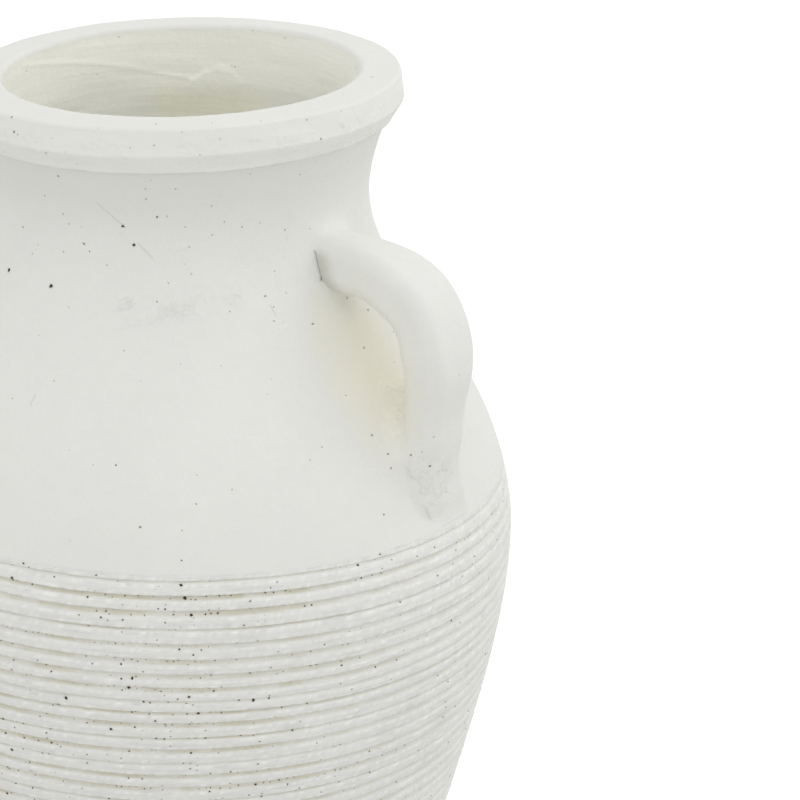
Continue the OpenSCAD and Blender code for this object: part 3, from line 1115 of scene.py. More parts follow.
def comb_tree():
    """Presses each row of the blank in by its tooth, and marks the grooves and their lips."""
    tree = bpy.data.node_groups.new("comb", "GeometryNodeTree")
    face = tree.interface
    face.new_socket(name="Geometry", in_out="INPUT", socket_type="NodeSocketGeometry")
    for name, value in (("Groove Depth", GROOVE_DEPTH * MM), ("Groove Width", GROOVE_W * MM),
                        ("Waver", 0.7 * MM), ("Burr", 0.22 * MM), ("Seed", 4.0)):
        face.new_socket(name=name, in_out="INPUT", socket_type="NodeSocketFloat").default_value = value
    face.new_socket(name="Finish", in_out="INPUT", socket_type="NodeSocketMaterial")
    face.new_socket(name="Geometry", in_out="OUTPUT", socket_type="NodeSocketGeometry")
    given = wires(tree, "NodeGroupInput")
    tooth, across, slope = (
        wire(tree, "GeometryNodeInputNamedAttribute", {"Name": name}, "Attribute", data_type="FLOAT")
        for name in ("tooth", "across", "slope"))
    place = wire(tree, "GeometryNodeInputPosition")
    outward = vector_sum("NORMALIZE", vector_sum("MULTIPLY", place, (1, 1, 0)))
    on_tooth = reckon("GREATER_THAN", tooth, -0.5)

    def tooth_value(shares):
        """Each tooth's own share, looked up by its number."""
        number = reckon("FLOORED_MODULO", tooth, len(shares))
        return sum(reckon("COMPARE", number, i, 0.5) * share for i, share in enumerate(shares))

    def along_groove(per_turn, tall, lift, detail=2.0):
        """Noise about 0 that changes round the wall, and from groove to groove if tall is small."""
        ring = vector_sum("SCALE", outward, scale=per_turn / (2 * math.pi))
        up = vector_from(tree, Z=tooth * (COMB_PITCH / tall) + lift)
        return wire(tree, "ShaderNodeTexNoise", {
            "Vector": vector_sum("ADD", ring, up), "W": given["Seed"], "Scale": 1.0, "Detail": detail},
            noise_dimensions="4D") - 0.5

    # A tooth drags clay down, so a groove is steep above and slopes out below
    press = reckon("MINIMUM", map_to(across, 1.0, 0.55), map_to(across, -1.05, 0.3))
    swell = along_groove(26, 2.0, 3.0, 3.0) * 1.3 + 1.0 + along_groove(330, 1.7, 5.0) * 0.9
    cut_here = tooth_value(TOOTH_DEPTH_SHARES) * reckon("MAXIMUM", swell, 0.15)
    cut = cut_here * press * on_tooth
    # The overhanging upper wall of a groove, where the finish paints shade
    roof = map_to(abs(across - 0.78), 0.42, 0.1) * cut_here * on_tooth

    # The clay that a tooth moves stands up as a crumbly lip
    size = abs(across)
    crumbs = reckon("MAXIMUM", along_groove(420, 0.9, 9.0) * 6.0 + 0.3, 0.0)
    lip = map_to(abs(size - 1.2), 0.35, 0.05, soft=False) * crumbs * on_tooth

    # A land between two grooves is rounded off towards both of them
    fall = map_to(size, 1.9, 0.5, 0.0, LAND_FALL * MM) * on_tooth
    move_out = lip * given["Burr"] - cut * given["Groove Depth"] - fall

    # Narrow teeth draw the rows together, and the hand wavers and sags
    narrow = (tooth_value(TOOTH_WIDTH_SHARES) - 1.0) * reckon("LESS_THAN", size, 1.5)
    squeeze = across * narrow * given["Groove Width"] * 0.5
    waver = along_groove(9, 34.0, 1.0) * 2.0 + along_groove(150, 1.9, 7.0) * 0.5
    from_slow = (tooth - SLOW_TOOTH) / SLOW_SPREAD
    sag = reckon("EXPONENT", from_slow * from_slow * -1.0)
    climb = (waver * given["Waver"] + squeeze - sag * (SLOW_DROP * MM)) * on_tooth
    move_out = move_out + climb * slope

    offset = vector_sum("ADD", vector_sum("SCALE", outward, scale=move_out), vector_from(tree, Z=climb))
    made = given["Geometry"]
    for name, value in (("groove", cut), ("roof", roof), ("lip", lip)):
        made = wire(tree, "GeometryNodeStoreNamedAttribute", {
            "Geometry": made, "Name": name, "Value": value}, data_type="FLOAT", domain="POINT")
    made = wire(tree, "GeometryNodeSetPosition", {"Geometry": made, "Offset": offset})
    made = wire(tree, "GeometryNodeRealizeInstances", {"Geometry": made})
    made = wire(tree, "GeometryNodeSetMaterial", {"Geometry": made, "Material": given["Finish"]})
    add_node(tree, "NodeGroupOutput", {"Geometry": made})
    return tree


def run_tree(piece, tree, values):
    """Runs a tree on a piece with named values, and keeps the result as a plain mesh."""
    modifier = piece.modifiers.new(tree.name, "NODES")
    modifier.node_group = tree
    for item in tree.interface.items_tree:
        if item.item_type == "SOCKET" and item.in_out == "INPUT" and item.name in values:
            modifier[item.identifier] = values[item.name]
    seen = piece.evaluated_get(bpy.context.evaluated_depsgraph_get())
    made = bpy.data.meshes.new_from_object(seen)
    piece.modifiers.remove(modifier)
    made.name = piece.name
    piece.data = made


comb = comb_tree()
for ring in combed_rings:
    run_tree(ring, comb, {"Groove Depth": GROOVE_DEPTH * MM, "Finish": COMBED_SKIN})
    finish_piece(ring, "belly", COMBED_SKIN)
print("the comb has", TEETH, "teeth and was drawn round", len(combed_rings), "times")

# %% [markdown]
# ## Shoulder
#
# Above the comb the wall is smooth. The shoulder is a plain ring on the shared outline, with the
# marks of the hand and the scab outside and finger rings inside. Its scab also gets a value for the
# finish, which crumbles the wash there.

# %% Shoulder
def skin_shape(angle, r, z):
    """The outside takes the wall's lumps and the marks of the hand, and the inside finger rings."""
    rings = 0.35 * np.sin(z / 5.1 + 0.5 * np.sin(angle)) + 0.3 * lumps(angle, z, 9, 22, 41)
    return both_sides(r, inner_radius(z) + WALL / 2, wall_lumps(angle, z) + hand_marks(angle, z),
                      rings * smooth((SEAM_Z - z) / 6)), z


shoulder = ring_piece("smooth_shoulder", profile(wall_radius, COMB_TOP_Z, SEAM_Z, 0.75),
                      profile(inner_radius, SEAM_Z, COMB_TOP_Z, 4), COLUMNS, skin_shape,
                      {"inside": (0, 1), "rough": scab_share})
finish_piece(shoulder, "shoulder", SKIN)

# %% [markdown]
# ## Neck
#
# The neck is a second thrown ring, luted on, and it opens into the throat. Inside the mouth the
# picture shows how that was done: a ridge runs round where the two clays met, slip was smeared up
# over it and tore off in a ragged edge, and below the tear the dip ran down and stayed olive. That
# olive is painted as bright as the inside's painted light. All three are functions of angle and
# height, laid on the picture's own points. The smear could be sculpted, but a step of a third of a
# millimetre is all there is to it.

# %% Neck
LIP_RADIUS = 2.2
RIM_TOP_W, MOUTH_FLARE = 16, 0.172
MOUTH_R = RIM_R - RIM_TOP_W
THROAT_R = NECK_R - WALL
THROAT = [(SEAM_Z, float(inner_radius(SEAM_Z)), float(wall_slope(SEAM_Z))),
          (NECK_Z - WALL, THROAT_R, 0), (RIM_Z - WALL, THROAT_R, 0),
          (TOP_Z - LIP_RADIUS, MOUTH_R, MOUTH_FLARE)]
RIDGE_HALF_WIDTH, RIDGE_STEP = 0.95, 0.27
TORN_STEP, TORN_FADE = 0.36, 15
# The olive run: its half width, its lowest height, and how far above its path it starts
OLIVE_HALF_WIDTH, OLIVE_LOW_Z, OLIVE_ABOVE = 17, 300, 11
# The painted shade on the neck under the rim's ledge: its share, and the heights where it comes
LEDGE_SHADE, LEDGE_SHADE_RISE = 0.35, (303, 321)
MOUTH_LAYERS = ((0.35, 11, 14, 51), (0.12, 16, 3.5, 52), (0.05, 7, 1.7, 53))


def throat_radius(z):
    """The radius inside the neck and the rim at a height."""
    return curve_through(THROAT, z)[0]


# The ridge where the neck was luted on, the torn edge of the smeared clay, and where the dip ran
RIDGE = [in_mouth(*point) for point in [(28, 68), (64, 66), (100, 67), (142, 71), (193, 79)]]
TORN_EDGE = [in_mouth(*point) for point in [(186, 84), (193, 78), (203, 72), (222, 67), (231, 70),
                                            (238, 77), (246, 80)]]
OLIVE_RUN = [in_mouth(*point) for point in [(185, 100), (212, 92), (240, 100)]]


def torn_share(angle, height):
    """The smeared clay: 1 just under its torn upper edge, falling to 0 further down."""
    angles, edge = (np.array(column) for column in zip(*reversed(TORN_EDGE)))
    under = np.interp(angle, angles, edge) + 0.3 * lumps(angle, height, 150, 6, 54) - height
    ends = smooth((angle - angles[0]) / 0.05) * smooth((angles[-1] - angle) / 0.03)
    return ends * smooth(under / 0.7 + 0.5) * (1 - smooth(under / TORN_FADE))


def mouth_lumps(angle, height):
    """The unevenness of the inside of the neck and the rim, in millimetres."""
    made = (layered(angle, height, MOUTH_LAYERS) - TORN_STEP * torn_share(angle, height)
            - RIDGE_STEP * stroke(angle, height, RIDGE, RIDGE_HALF_WIDTH, THROAT_R))
    return made * smooth((height - SEAM_Z) / 5)


def olive_share(angle, height):
    """Where the dip ran down from the torn clay and stayed olive, on the inside alone."""
    high_z = OLIVE_RUN[0][1] + OLIVE_ABOVE
    share = window(height, OLIVE_LOW_Z, OLIVE_LOW_Z + 10, high_z - 14, high_z)
    share = share * smooth(stroke(angle, height, OLIVE_RUN, OLIVE_HALF_WIDTH, THROAT_R) * 1.4)
    return share * np.repeat([0, 1], [len(neck_outer), len(neck_inner)])[:, None]


def neck_shape(angle, r, z):
    """The neck's outside and the inside of the mouth, each with its own lumps."""
    return both_sides(r, throat_radius(z) + WALL / 2, wall_lumps(angle, z) + hand_marks(angle, z),
                      mouth_lumps(angle, z)), z


neck_outer = profile(wall_radius, SEAM_Z, RIM_Z, 0.7)
neck_inner = profile(throat_radius, RIM_Z, SEAM_Z, 0.8)
neck = ring_piece("luted_neck", neck_outer, neck_inner, COLUMNS, neck_shape, {
    "inside": (0, 1), "brushed": (0.15, 1), "olive": olive_share,
    # Painted shade on the neck, darkest under the rim's ledge
    "corner": ([LEDGE_SHADE * ramp(z, *LEDGE_SHADE_RISE) for _, z in neck_outer], 0)})
finish_piece(neck, "neck", SKIN)
print("the ridge inside lies", round(TOP_Z - RIDGE[2][1], 1), "mm under the top")

# %% [markdown]
# ## Rim
#
# The rim is a rolled collar with a flat top, a sloping face and a chamfer below. It overhangs the
# neck by a small ledge, which draws the dark line under it in the picture, with painted shade on the
# neck below it, and its far side stands a little high, so more of the inside shows. It could be a
# bevelled torus, but the chamfer, the ledge and the flare inside all have to meet other pieces, so
# its section is drawn point by point.

# %% Rim
RIM_UNDERSIDE_H, RIM_FACE_LEAN, RIM_EDGE, RIM_FALL = 6.3, 1.4, 1.5, 0.5
RIM_LEDGE, RIM_LEDGE_RISE = 1.6, 0.2
RIM_FAR_LIFT, RIM_FAR_ANGLE = 0.9, math.radians(130)
RIM_SIDE_LAYERS = ((0.45, 7, 30, 61), (0.18, 31, 6, 62), (0.11, 110, 3, 65))
RIM_TOP_LAYERS = ((0.35, 8, 40, 63), (0.12, 40, 8, 64), (0.08, 120, 5, 66))


def between(a, b, longest):
    """Points on the straight from a to b without its first one."""
    count = max(1, math.ceil(math.dist(a, b) / longest))
    return [tuple(np.array(a) + (np.array(b) - np.array(a)) * i / count) for i in range(1, count + 1)]


def rim_shape(angle, r, z):
    """The collar's outside, top and inside, each pressed a little out of true."""
    wall_share = smooth((RIM_Z + 2 - z) / 2)
    outside = wall_share * wall_lumps(angle, z) + (1 - wall_share) * layered(angle, z, RIM_SIDE_LAYERS)
    lift = layered(angle, r, RIM_TOP_LAYERS) + RIM_FAR_LIFT * smooth(np.cos(angle - RIM_FAR_ANGLE))
    return (both_sides(r, throat_radius(np.minimum(z, TOP_Z - LIP_RADIUS)) + 3, outside,
                       mouth_lumps(angle, z)), z + smooth((z - RIM_Z) / 3) * lift)


def rim_outline():
    """The closed section of the collar, up its outside and down its inside."""
    ledge = (COLLAR_R + RIM_LEDGE, RIM_Z + RIM_LEDGE_RISE)
    low_corner = (RIM_R, RIM_Z + RIM_UNDERSIDE_H)
    edge = arc_points((RIM_R - RIM_FACE_LEAN - RIM_EDGE, TOP_Z - RIM_FALL - RIM_EDGE), RIM_EDGE, 8, 80, 9)
    lip = arc_points((MOUTH_R + LIP_RADIUS, TOP_Z - LIP_RADIUS), LIP_RADIUS, 90, 165, 11)
    outline = [(COLLAR_R, RIM_Z)]
    for corner, longest in ((ledge, 0.5), (low_corner, 0.7), (edge[0], 0.7)):
        outline += between(outline[-1], corner, longest)
    outline += edge[1:] + between(edge[-1], lip[0], 0.8) + lip[1:]
    return outline + profile(throat_radius, TOP_Z - LIP_RADIUS, RIM_Z, 0.8)


def rim_finish_values(r, z):
    """How inside, rough and brushed the rim is at its section's points, and its painted shade on top."""
    in_mouth_side, face = r < MOUTH_R + 1, r > RIM_R - 3.5
    # The rim's outer face takes a fifth of the inside's painted light
    return {"inside": np.where(in_mouth_side, 1, 0.2 * face) * smooth((TOP_Z - 0.8 - z) / 1.4),
            "rough": 0.45 * face * smooth((TOP_Z - 3 - z) / 3),
            "brushed": np.where(in_mouth_side, 1.0, 0.45),
            # Painted shade on the rim's top
            "corner": 0.3 * (r < RIM_R - 2) * smooth((z - TOP_Z + 1.2) / 0.8)}


rim_loop = rim_outline()
rim = ring_piece("rolled_rim", rim_loop, [], COLUMNS, rim_shape, {
    name: (values, 0) for name, values in rim_finish_values(*np.array(rim_loop).T).items()})
finish_piece(rim, "rim", SKIN)

# %% [markdown]
# ## Pulled handles
#
# A strap is pulled from a lump of wet clay, stuck to the neck, bent over and pressed on to the
# shoulder, and then smeared into the wall with the thumb. A curve with a bevel would give the strap
# but not the smeared roots. So each handle is poured: a field says how far any point is from the
# strap and from the wall, the two are blended with a soft union whose fillet is wide where the thumb
# smeared and tight where it didn't, and the surface where the field is zero becomes the mesh. Above
# the foot a lump of clay fills the corner between strap and shoulder, as in the picture. The mesh is
# sunk by a hair under the wall's own skin, so that the two meet in one fine line and never fight for
# the same place.

# %% Pulled strap
STRAP_W, STRAP_T = 24, 21
ROOT_Z, TAIL_Z = NECK_Z - 15.5, BELLY_Z + 24.5
# How deep the strap's root and its tail are buried in the wall
ROOT_BURIED, TAIL_BURIED = 7.6, 1.1
# The two points that bend the middle line, as shares (outward, up) of the way from root to tail
ELBOW_SHARES, LEG_SHARES = np.array([1.345, -0.135]), np.array([0.885, 0.367])
# How far the mesh is sunk under the wall's skin, and how far its plug reaches in
SKIN_SINK, PLUG_DEPTH = 0.008, 1.6
CELL = 0.45


def outer_half(t):
    """Half thickness on the outer side, pressed flat by the thumb above the foot."""
    return STRAP_T / 2 * (1 - 0.17 * ramp(t, 0.05, 0.28) - 0.22 * ramp(t, 0.58, 0.75)) * (
        1 - 0.30 * ramp(t, 0.74, 0.9) - 0.25 * ramp(t, 0.92, 1))


def inner_half(t):
    """Half thickness on the inner side of the strap alone."""
    return STRAP_T / 2 * (0.80 + 0.10 * ramp(t, 0.1, 0.3) - 0.10 * ramp(t, 0.4, 0.65))


def half_width(t):
    """Half the strap's width, narrow at the root, drawn in above the foot and spread at the foot."""
    return STRAP_W / 2 * (1 - 0.29 * (1 - ramp(t, 0.02, 0.26))) * (1 - 0.15 * ramp(t, 0.5, 0.7)) * (
        1 + 0.34 * ramp(t, 0.8, 0.95))


def corner_radius(t):
    """How round the strap's long edges are."""
    return 5.6 - 0.6 * ramp(t, 0.08, 0.3)


def crown(t):
    """How much lower the outer and the inner face are at their edges than in the middle."""
    return 0.8 + 1.1 * ramp(t, 0.75, 0.92)


def side_shift(t):
    """The foot was dragged to one side as it was smeared down."""
    return 1.0 * ramp(t, 0.66, 0.84) + 4.0 * ramp(t, 0.82, 1)


STRAP_ROOT = np.array([float(wall_radius(ROOT_Z)) - ROOT_BURIED, ROOT_Z])
STRAP_TAIL = np.array([float(wall_radius(TAIL_Z)) - float(outer_half(1.0)) - TAIL_BURIED, TAIL_Z])
STRAP_ELBOW = STRAP_ROOT + ELBOW_SHARES * (STRAP_TAIL - STRAP_ROOT)
STRAP_LEG = STRAP_ROOT + LEG_SHARES * (STRAP_TAIL - STRAP_ROOT)


def strap_line(t):
    """Points (outward, up) of the strap's middle line."""
    t = np.asarray(t, float)[..., None]
    return ((1 - t)**3 * STRAP_ROOT + 3 * (1 - t)**2 * t * STRAP_ELBOW
            + 3 * (1 - t) * t**2 * STRAP_LEG + t**3 * STRAP_TAIL)


LINE_T = np.linspace(0, 1, 600)
LINE = strap_line(LINE_T)
HEADINGS = np.gradient(LINE, axis=0)
HEADINGS /= np.linalg.norm(HEADINGS, axis=1)[:, None]
print("the strap is", round(float(np.linalg.norm(np.diff(LINE, axis=0), axis=1).sum())), "mm long")

# %% [markdown]
# ## The field of strap and wall
#
# Every point near the handle gets a number: how far it is outside the strap, its corner fill and the
# wall. Where the number is zero there is the surface of the clay. Blending the numbers softly gives
# a fillet, and the fillet's size follows what the potter's thumb did at that place.

# %% The field of strap and wall
# Fillets of strap and wall: along the strap, on top of the root, along the foot and at the slit
FILLET, ROOT_FILLET, FOOT_FILLET, SLIT_FILLET = 4.0, 11.0, 1.2, 0.6
# Above the foot a lump of clay was pushed into the corner between the strap and the shoulder
FILL_TOP_Z, FILL_RIGHT, FILL_T = BELLY_Z + 70.5, 8.5, 19
# The heights between which a wide fillet rises and ends at the corner, and a tight one at the slit
CORNER_SPAN, SLIT_SPAN = (226, 236, 258, 266), (276, 282, 296, 305)


def nearest_on_line(flat):
    """For points (outward, up): the nearest t on the strap's line and the offset across it."""
    gaps = ((flat[..., None, :] - LINE[::6])**2).sum(-1)
    near = np.clip(gaps.argmin(-1)[..., None] * 6 + np.arange(-6, 7), 0, len(LINE) - 1)
    best = ((flat[..., None, :] - LINE[near])**2).sum(-1).argmin(-1)
    nearest = np.take_along_axis(near, best[..., None], -1)[..., 0]
    offset, head = flat - LINE[nearest], HEADINGS[nearest]
    return LINE_T[nearest], offset[..., 1] * head[..., 0] - offset[..., 0] * head[..., 1]


def round_box(a, b, half_a, half_b, corner):
    """How far a point is outside a box with round corners, from its two offsets."""
    over_a, over_b = np.abs(a) - half_a + corner, np.abs(b) - half_b + corner
    outside = np.hypot(np.maximum(over_a, 0), np.maximum(over_b, 0))
    return outside + np.minimum(np.maximum(over_a, over_b), 0) - corner


def strap_field(x, y, z):
    """The strap alone and its corner fill, in millimetres. Arrays are x by y by z, x points out."""
    t, out = nearest_on_line(np.stack([x[:, 0, :], z[:, 0, :]], -1))
    side = y - side_shift(t)[:, None, :]
    lump = 0.35 * np.sin(t * 9 + 1) + 0.25 * np.sin(t * 23 + 2)
    thick = np.where(out > 0, outer_half(t) + 0.5 * lump, inner_half(t) + 0.3 * lump)
    wide = half_width(t) + 0.4 * lump
    across = np.abs(out)[:, None, :] + crown(t)[:, None, :] * (side / wide[:, None, :])**2
    strap = round_box(across, side, thick[:, None, :], wide[:, None, :],
                      np.minimum(corner_radius(t), 0.9 * thick)[:, None, :])
    return soft_union(strap, fill_field(x, y, z, out, t), FILLET)


def fill_field(x, y, z, out, t):
    """The rough lump in the corner: narrow at its top, as wide as the strap at the foot."""
    left = (-1.5 - 8.0 * ramp(t, 0.67, 0.80))[:, None, :]
    rough = 0.4 * lumps(np.arctan2(y, x), z, 260, 2.4, 71) + 0.3 * lumps(np.arctan2(y, x), z, 120, 5, 72)
    fill = round_box(out[:, None, :] + FILL_T / 2, y - (left + FILL_RIGHT) / 2,
                     FILL_T / 2, (FILL_RIGHT - left) / 2, 2.0)
    return np.maximum(fill, z - FILL_TOP_Z - 0.12 * y) + rough * ramp(z, 205, 225)


def wall_field(x, y, z):
    """How far a point is outside the uneven wall, in millimetres."""
    level = unlean(np.stack([x, y, z], -1))
    height = level[..., 2]
    angle = np.arctan2(y, x)
    radius, slope = curve_through(STATIONS, height)
    return (np.hypot(x, y) - radius - wall_lumps(angle, height)) / np.sqrt(1 + slope**2)


def soft_union(a, b, k):
    """The nearer of two fields, with a fillet of size k where they meet."""
    h = np.maximum(k - np.abs(a - b), 0) / k
    return np.minimum(a, b) - h * h * h * k / 6


def fillet_size(y, z):
    """Wide on top of the root and at the corner fill, tight at the slit and along the foot."""
    foot = 1 - ramp(z, 256, 272)
    size = FILLET - foot * (2.2 - 2.5 * ramp(y, -3, 6))
    root = ramp(z, 284, 304) + window(z, *CORNER_SPAN) * (1 - ramp(y, -4, 2))
    size = size + (ROOT_FILLET - FILLET) * root
    low_edge = (1 - ramp(z, 222, 232)) * (1 - ramp(y, -2, 4))
    size = size + (FOOT_FILLET - size) * np.maximum(low_edge, 1 - ramp(z, 206, 216))
    slit = ramp(-y, 3, 8) * window(z, *SLIT_SPAN)
    return size + (SLIT_FILLET - size) * slit


print("fillets run from", SLIT_FILLET, "to", ROOT_FILLET, "mm")

# %% [markdown]
# ## From the field to a mesh
#
# A grid of small cells is laid through the field. Every cell that the surface crosses gets one
# point, in the middle of its crossings, and every grid edge that is crossed gets a quad between the
# four cells around it. That keeps the mesh closed and all of quads, where marching cubes would give
# thin triangles. Afterwards the points slide along the field's slope until they lie on its zero.

# %% Pour the field into a mesh
def net_of(field, low, cell):
    """The surface where a field on a grid is zero, as points and quads, one point to a crossed cell."""
    shape = np.array(field.shape) - 1
    total, count = np.zeros((*shape, 3)), np.zeros(shape)

    def corner_values(offset):
        """The field at one corner of every cell."""
        return field[tuple(slice(start, start + n) for start, n in zip(offset, shape))]

    for axis in range(3):
        others = [k for k in range(3) if k != axis]
        for corner in np.ndindex(2, 2):
            start, end = np.zeros(3, int), np.zeros(3, int)
            start[others] = end[others] = corner
            end[axis] = 1
            here, there = corner_values(start), corner_values(end)
            crossed = (here < 0) != (there < 0)
            count += crossed
            total[..., axis] += np.where(crossed, here / np.where(crossed, here - there, 1), 0)
            total[..., others] += crossed[..., None] * np.array(corner)
    used = count > 0
    number = -np.ones(used.shape, int)
    number[used] = np.arange(used.sum())
    points = low + cell * (np.argwhere(used) + total[used] / count[used][:, None])
    quads = []
    for axis in range(3):
        across = [(axis + 1) % 3, (axis + 2) % 3]
        here, there = [slice(1, -1)] * 3, [slice(1, -1)] * 3
        here[axis], there[axis] = slice(0, -1), slice(1, None)
        a, b = field[tuple(here)] < 0, field[tuple(there)] < 0
        for hit, order in ((a & ~b, 1), (~a & b, -1)):
            corners = []
            for one, two in ((0, 0), (1, 0), (1, 1), (0, 1))[::order]:
                spot = np.argwhere(hit)
                spot[:, across] += (one, two)
                corners.append(number[tuple(spot.T)])
            quads.append(np.stack(corners, -1))
    return points, np.concatenate(quads)


def read_grid(grid, points, low, cell):
    """The values of a grid at points between its own."""
    spot = np.clip((points - low) / cell, 0, np.array(grid.shape[:3]) - 1.001)
    i = spot.astype(int)
    f = spot - i
    total = 0.0
    for corner in np.ndindex(2, 2, 2):
        c = np.array(corner)
        weight = np.prod(np.where(c, f, 1 - f), axis=1)
        value = grid[tuple((i + c).T)]
        total = total + (weight[:, None] if value.ndim == 2 else weight) * value
    return total


def settle(points, field, low, cell, rounds=3):
    """Moves points on to the field's zero along its slope."""
    slopes = np.stack(np.gradient(field, cell), -1)
    for _ in range(rounds):
        value = read_grid(field, points, low, cell)
        slope = read_grid(slopes, points, low, cell)
        points = points - (value / np.maximum((slope**2).sum(1), 0.05))[:, None] * slope
    return points


print("a handle is poured in cells of", CELL, "mm")

# %% [markdown]
# ## Handles
#
# In the picture the root of the right strap was never closed at its left side: an open slit stays
# there. The slit is cut into the mesh and painted black, partly dark clay and partly painted shade
# for a crevice finer than the mesh, with painted shade around it. The values that tell the finish
# where it runs are made with it, and so are the crumbled patch under the loop and the line of
# painted shade where the foot was torn. The poured clay stops a hair above the comb's edge, so that
# the grooves run on beneath it. The left handle lies outside the picture and is the right one turned
# by half a turn, but poured on its own side of the uneven wall.

# %% Handles
# Points (sideways, up) of the slit that was left open at the left of the root
SLIT_MM = [(-2.6, 300.6), (-5.4, 298.2), (-7.6, 294.8), (-9.0, 289.6), (-10.0, 284.6)]
SLIT_HALF, SLIT_DEPTH = 0.6, 1.2
SLIT_HIGH_Z, SLIT_LOW_Z = SLIT_MM[0][1], SLIT_MM[-1][1]
# Points of the line where the foot's left edge was torn as it was smeared down, painted as shade
CREASE_MM = [(-9.4, 221.6), (-7.2, 219.2), (-5.2, 215.6), (-3.4, 213.4)]
# The heights between which three marks at the foot rise and end
CREASE_SPAN = (212.5, 215.5, 217.5, 221.5)
CRUMBLED_SPAN = (218, 234, 240, 257)
RUBBED_SPAN = (212, 218, 232, 242)
# How far the poured clay stays above the comb's edge, and how far it may reach past its fillet
COMB_CLEARANCE, FILLET_MARGIN = 0.25, 1.5
# The block in which the right handle is poured, from corner to corner
POUR_LOW, POUR_HIGH = np.array([62.0, -19.0, 203.0]), np.array([125.0, 20.0, 310.0])


def near_path(points, path):
    """How far each point is from a path of points."""
    gaps = []
    for a, b in zip(path, path[1:]):
        way, d = points - a, b - a
        share = np.clip(way @ d / (d @ d), 0, 1)
        gaps.append(np.linalg.norm(way - share[:, None] * d, axis=1))
    return np.min(gaps, axis=0)


def on_wall(y, z):
    """The point of the right handle's side of the wall that is so far sideways and up."""
    r = float(wall_radius(z))
    return np.array([math.sqrt(r * r - y * y), y, z])


def slit_share(y, z):
    """1 between the ends of the slit, on its side of the root."""
    return ramp(-y, 1.5, 3.5) * window(z, SLIT_LOW_Z + 1, SLIT_LOW_Z + 5, SLIT_HIGH_Z - 5, SLIT_HIGH_Z)


def finish_values(points, over_slit):
    """What the finish needs to know on each point of a handle."""
    x, y, z = points.T
    t, off = nearest_on_line(np.stack([x, z], -1))
    proud = np.hypot(x, y) - wall_radius(z)
    # Painted shade: darker beside the slit on the strap, and a painted dark line along the foot's crease
    darkening = 1 - ramp(near_path(points, [on_wall(*spot) for spot in SLIT_MM]), 0.5, 8.5)
    darkening = darkening * ramp(proud, 0.0, 1.2) * (1 - ramp(z, 295, 299.5))
    crease = near_path(points * (0, 1, 1), [np.array([0, *spot]) for spot in CREASE_MM])
    crease = (1 - ramp(crease, 0.0, 0.9)) * window(z, *CREASE_SPAN)
    crumbled = (ramp(-off, inner_half(t) - 1.5, inner_half(t) + 1) * window(z, *CRUMBLED_SPAN)
                * (1 - ramp(y, 1, 6)) * ramp(proud, 0.3, 4))
    rubbed = window(z, *RUBBED_SPAN) * (1 - ramp(y, 2, 8)) * ramp(proud, 2, 4)
    near = slit_share(y, z) * window(z, SLIT_LOW_Z + 1.5, SLIT_LOW_Z + 5, SLIT_HIGH_Z - 6,
                                     SLIT_HIGH_Z - 2)
    return {"slit_side": over_slit, "slit_near": near, "shade": np.maximum(darkening, 0.6 * crease),
            "rough": np.maximum(crumbled, 0.6 * rubbed)}


def pour_handle(name, half_turn):
    """A handle as a closed mesh. half_turn is 1 for the right one and -1 for the left one."""
    counts = np.ceil((POUR_HIGH - POUR_LOW) / CELL).astype(int) + 1
    x, y, z = np.meshgrid(*(low + CELL * np.arange(n) for low, n in zip(POUR_LOW, counts)),
                          indexing="ij")
    strap = strap_field(x, y, z)
    wall = wall_field(half_turn * x, half_turn * y, z)
    over_slit = wall - strap
    slit = np.minimum(SLIT_HALF - np.abs(over_slit) - 2 * (1 - slit_share(y, z)),
                      SLIT_DEPTH + np.minimum(wall, strap))
    fillet = fillet_size(y, z)
    poured = np.maximum(soft_union(wall, strap, fillet) + SKIN_SINK, slit)
    # Only the plug that sits in the wall, the fillet and what lies above the comb stay
    for beyond in (-(wall + PLUG_DEPTH), strap - fillet - FILLET_MARGIN, COMB_TOP_Z + COMB_CLEARANCE - z):
        poured = np.maximum(poured, beyond)
    points, quads = net_of(poured, POUR_LOW, CELL)
    points = settle(points, poured, POUR_LOW, CELL)
    piece = new_piece(name, points * (half_turn, half_turn, 1), quads.tolist())
    for value_name, values in finish_values(points, read_grid(over_slit, points, POUR_LOW, CELL)).items():
        give_points(piece, value_name, values)
    return piece


for node, half_turn in (("handle_right", 1), ("handle_left", -1)):
    finish_piece(pour_handle("strap_" + node, half_turn), node, STRAP_SKIN)
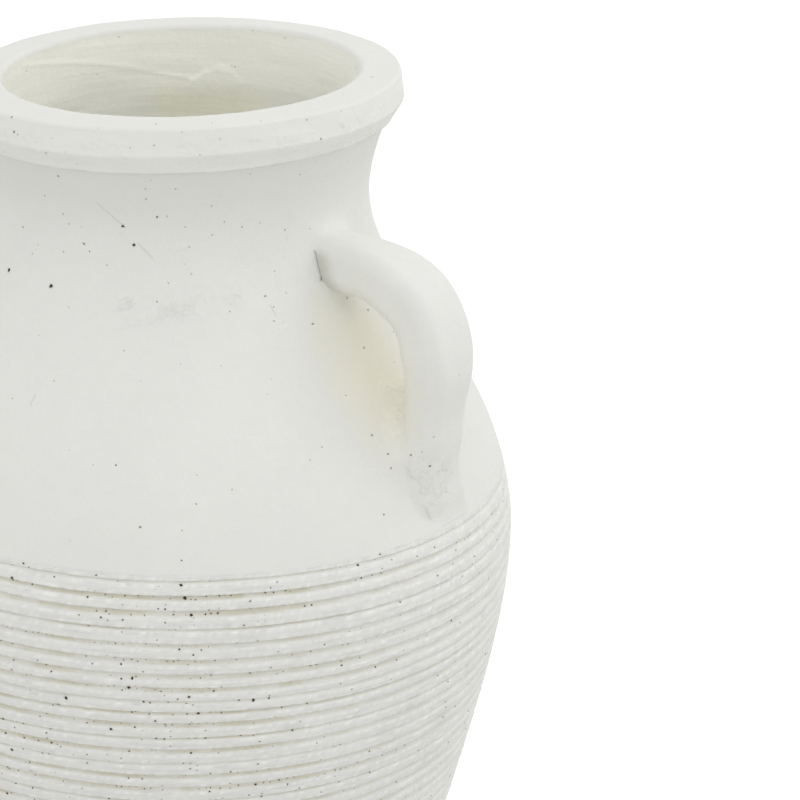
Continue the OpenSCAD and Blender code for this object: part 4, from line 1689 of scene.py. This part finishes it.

# %% [markdown]
# ## Pits
#
# Sand and bubbles left pits all over the vase, and in the picture each one has its place. They could
# be modelled one by one, but they are no wider than a millimetre, so the mesh carries only the way
# from each point to its nearest pit, and the finish draws the pit and its stained ring from that.
# The pits are read off the picture: a ray through the picture point finds the piece and the
# place on it.

# %% Pits read off the picture
# Picture points of the pits, by their radius in millimetres
PITS = {
    0.15: [(181, 364), (197, 475), (93, 465), (221, 366), (52, 138), (36, 142), (66, 152), (28, 572),
           (128, 584), (372, 60), (182, 132), (271, 379), (70, 541)],
    0.20: [(151, 180), (146, 189), (146, 199), (175, 189), (69, 224), (185, 227), (167, 216),
           (224, 222), (242, 227), (260, 223), (285, 230), (212, 206), (189, 247), (38, 245),
           (64, 252), (107, 265), (184, 264), (168, 283), (157, 302), (275, 271), (286, 293),
           (274, 321), (39, 335), (124, 351), (54, 381), (310, 460), (232, 490), (422, 452),
           (434, 437), (97, 74), (119, 37), (235, 67), (253, 31), (142, 126), (212, 123),
           (261, 121), (307, 120), (341, 111), (343, 95), (322, 84), (154, 145), (200, 155),
           (77, 164), (250, 174), (348, 162), (130, 148), (98, 128), (220, 139), (362, 70),
           (285, 38), (245, 50), (212, 235), (32, 254), (191, 274), (196, 504), (322, 447),
           (310, 229), (219, 608), (205, 674), (166, 726), (30, 690), (232, 66), (4, 152)],
    0.31: [(58, 176), (23, 227), (84, 244), (265, 296), (140, 527), (411, 455), (429, 460),
           (313, 324), (364, 348), (347, 298), (368, 310), (372, 435), (388, 454), (480, 540),
           (391, 468), (78, 155), (46, 153), (430, 466), (156, 124), (47, 148), (12, 117),
           (14, 132), (372, 77), (321, 139), (33, 153), (239, 700), (157, 217), (47, 150)],
    0.46: [(123, 226), (134, 245), (132, 678), (253, 700), (181, 585), (185, 598), (191, 615),
           (111, 729), (12, 578), (12, 750)],
    0.60: [(51, 286), (9, 270), (66, 698)],
}
PIT_REACH, PIT_SPACING = 2.2 * MM, 6.4 * MM


def pits_on(pieces):
    """For each piece, the places and sizes of the pits that the camera sees on it."""
    graph = bpy.context.evaluated_depsgraph_get()
    nets = [BVHTree.FromObject(piece, graph) for piece in pieces]
    found = [[] for _ in pieces]
    for size, points in PITS.items():
        for point in points:
            hits = [net.ray_cast(camera.location, ray_through(*point)) for net in nets]
            distances = [math.inf if hit[3] is None else hit[3] for hit in hits]
            nearest = int(np.argmin(distances))
            if math.isfinite(distances[nearest]):
                found[nearest].append((np.array(hits[nearest][0]), size * MM))
    return found


def part_pits(pits):
    """Shares the pits out over the layers, so that within a layer they lie well apart."""
    layers = [[] for _ in PIT_LAYERS]
    for place, size in pits:
        for layer in layers:
            if all(np.linalg.norm(place - other) > PIT_SPACING for other, _ in layer):
                layer.append((place, size))
                break
    return layers


def point_to_pits(piece, pits):
    """Stores on each point the way from its nearest pit, or a way off the skin if none is near."""
    mesh = piece.data
    places = np.empty(3 * len(mesh.vertices))
    mesh.vertices.foreach_get("co", places)
    places = places.reshape(-1, 3)
    normals = np.empty(3 * len(mesh.vertices), np.float32)
    mesh.vertex_normals.foreach_get("vector", normals)
    for layer, layer_pits in zip(PIT_LAYERS, part_pits(pits)):
        way, size = normals.reshape(-1, 3) * 0.1, np.full(len(places), 0.3 * MM)
        for centre, pit_size in layer_pits:
            near = np.linalg.norm(places - centre, axis=1) < PIT_REACH
            way[near] = (places - centre)[near]
            size[near] = pit_size
        give_points(piece, "way_to_pit" + layer, way)
        give_points(piece, "pit_size" + layer, size)


dressed = [piece for piece in bpy.data.objects if piece.type == "MESH" and piece.data.materials
           and piece.data.materials[0] in (SKIN, COMBED_SKIN, STRAP_SKIN)]
for piece, pits in zip(dressed, pits_on(dressed)):
    point_to_pits(piece, pits)
    print(piece.name, "has", len(pits), "pits")
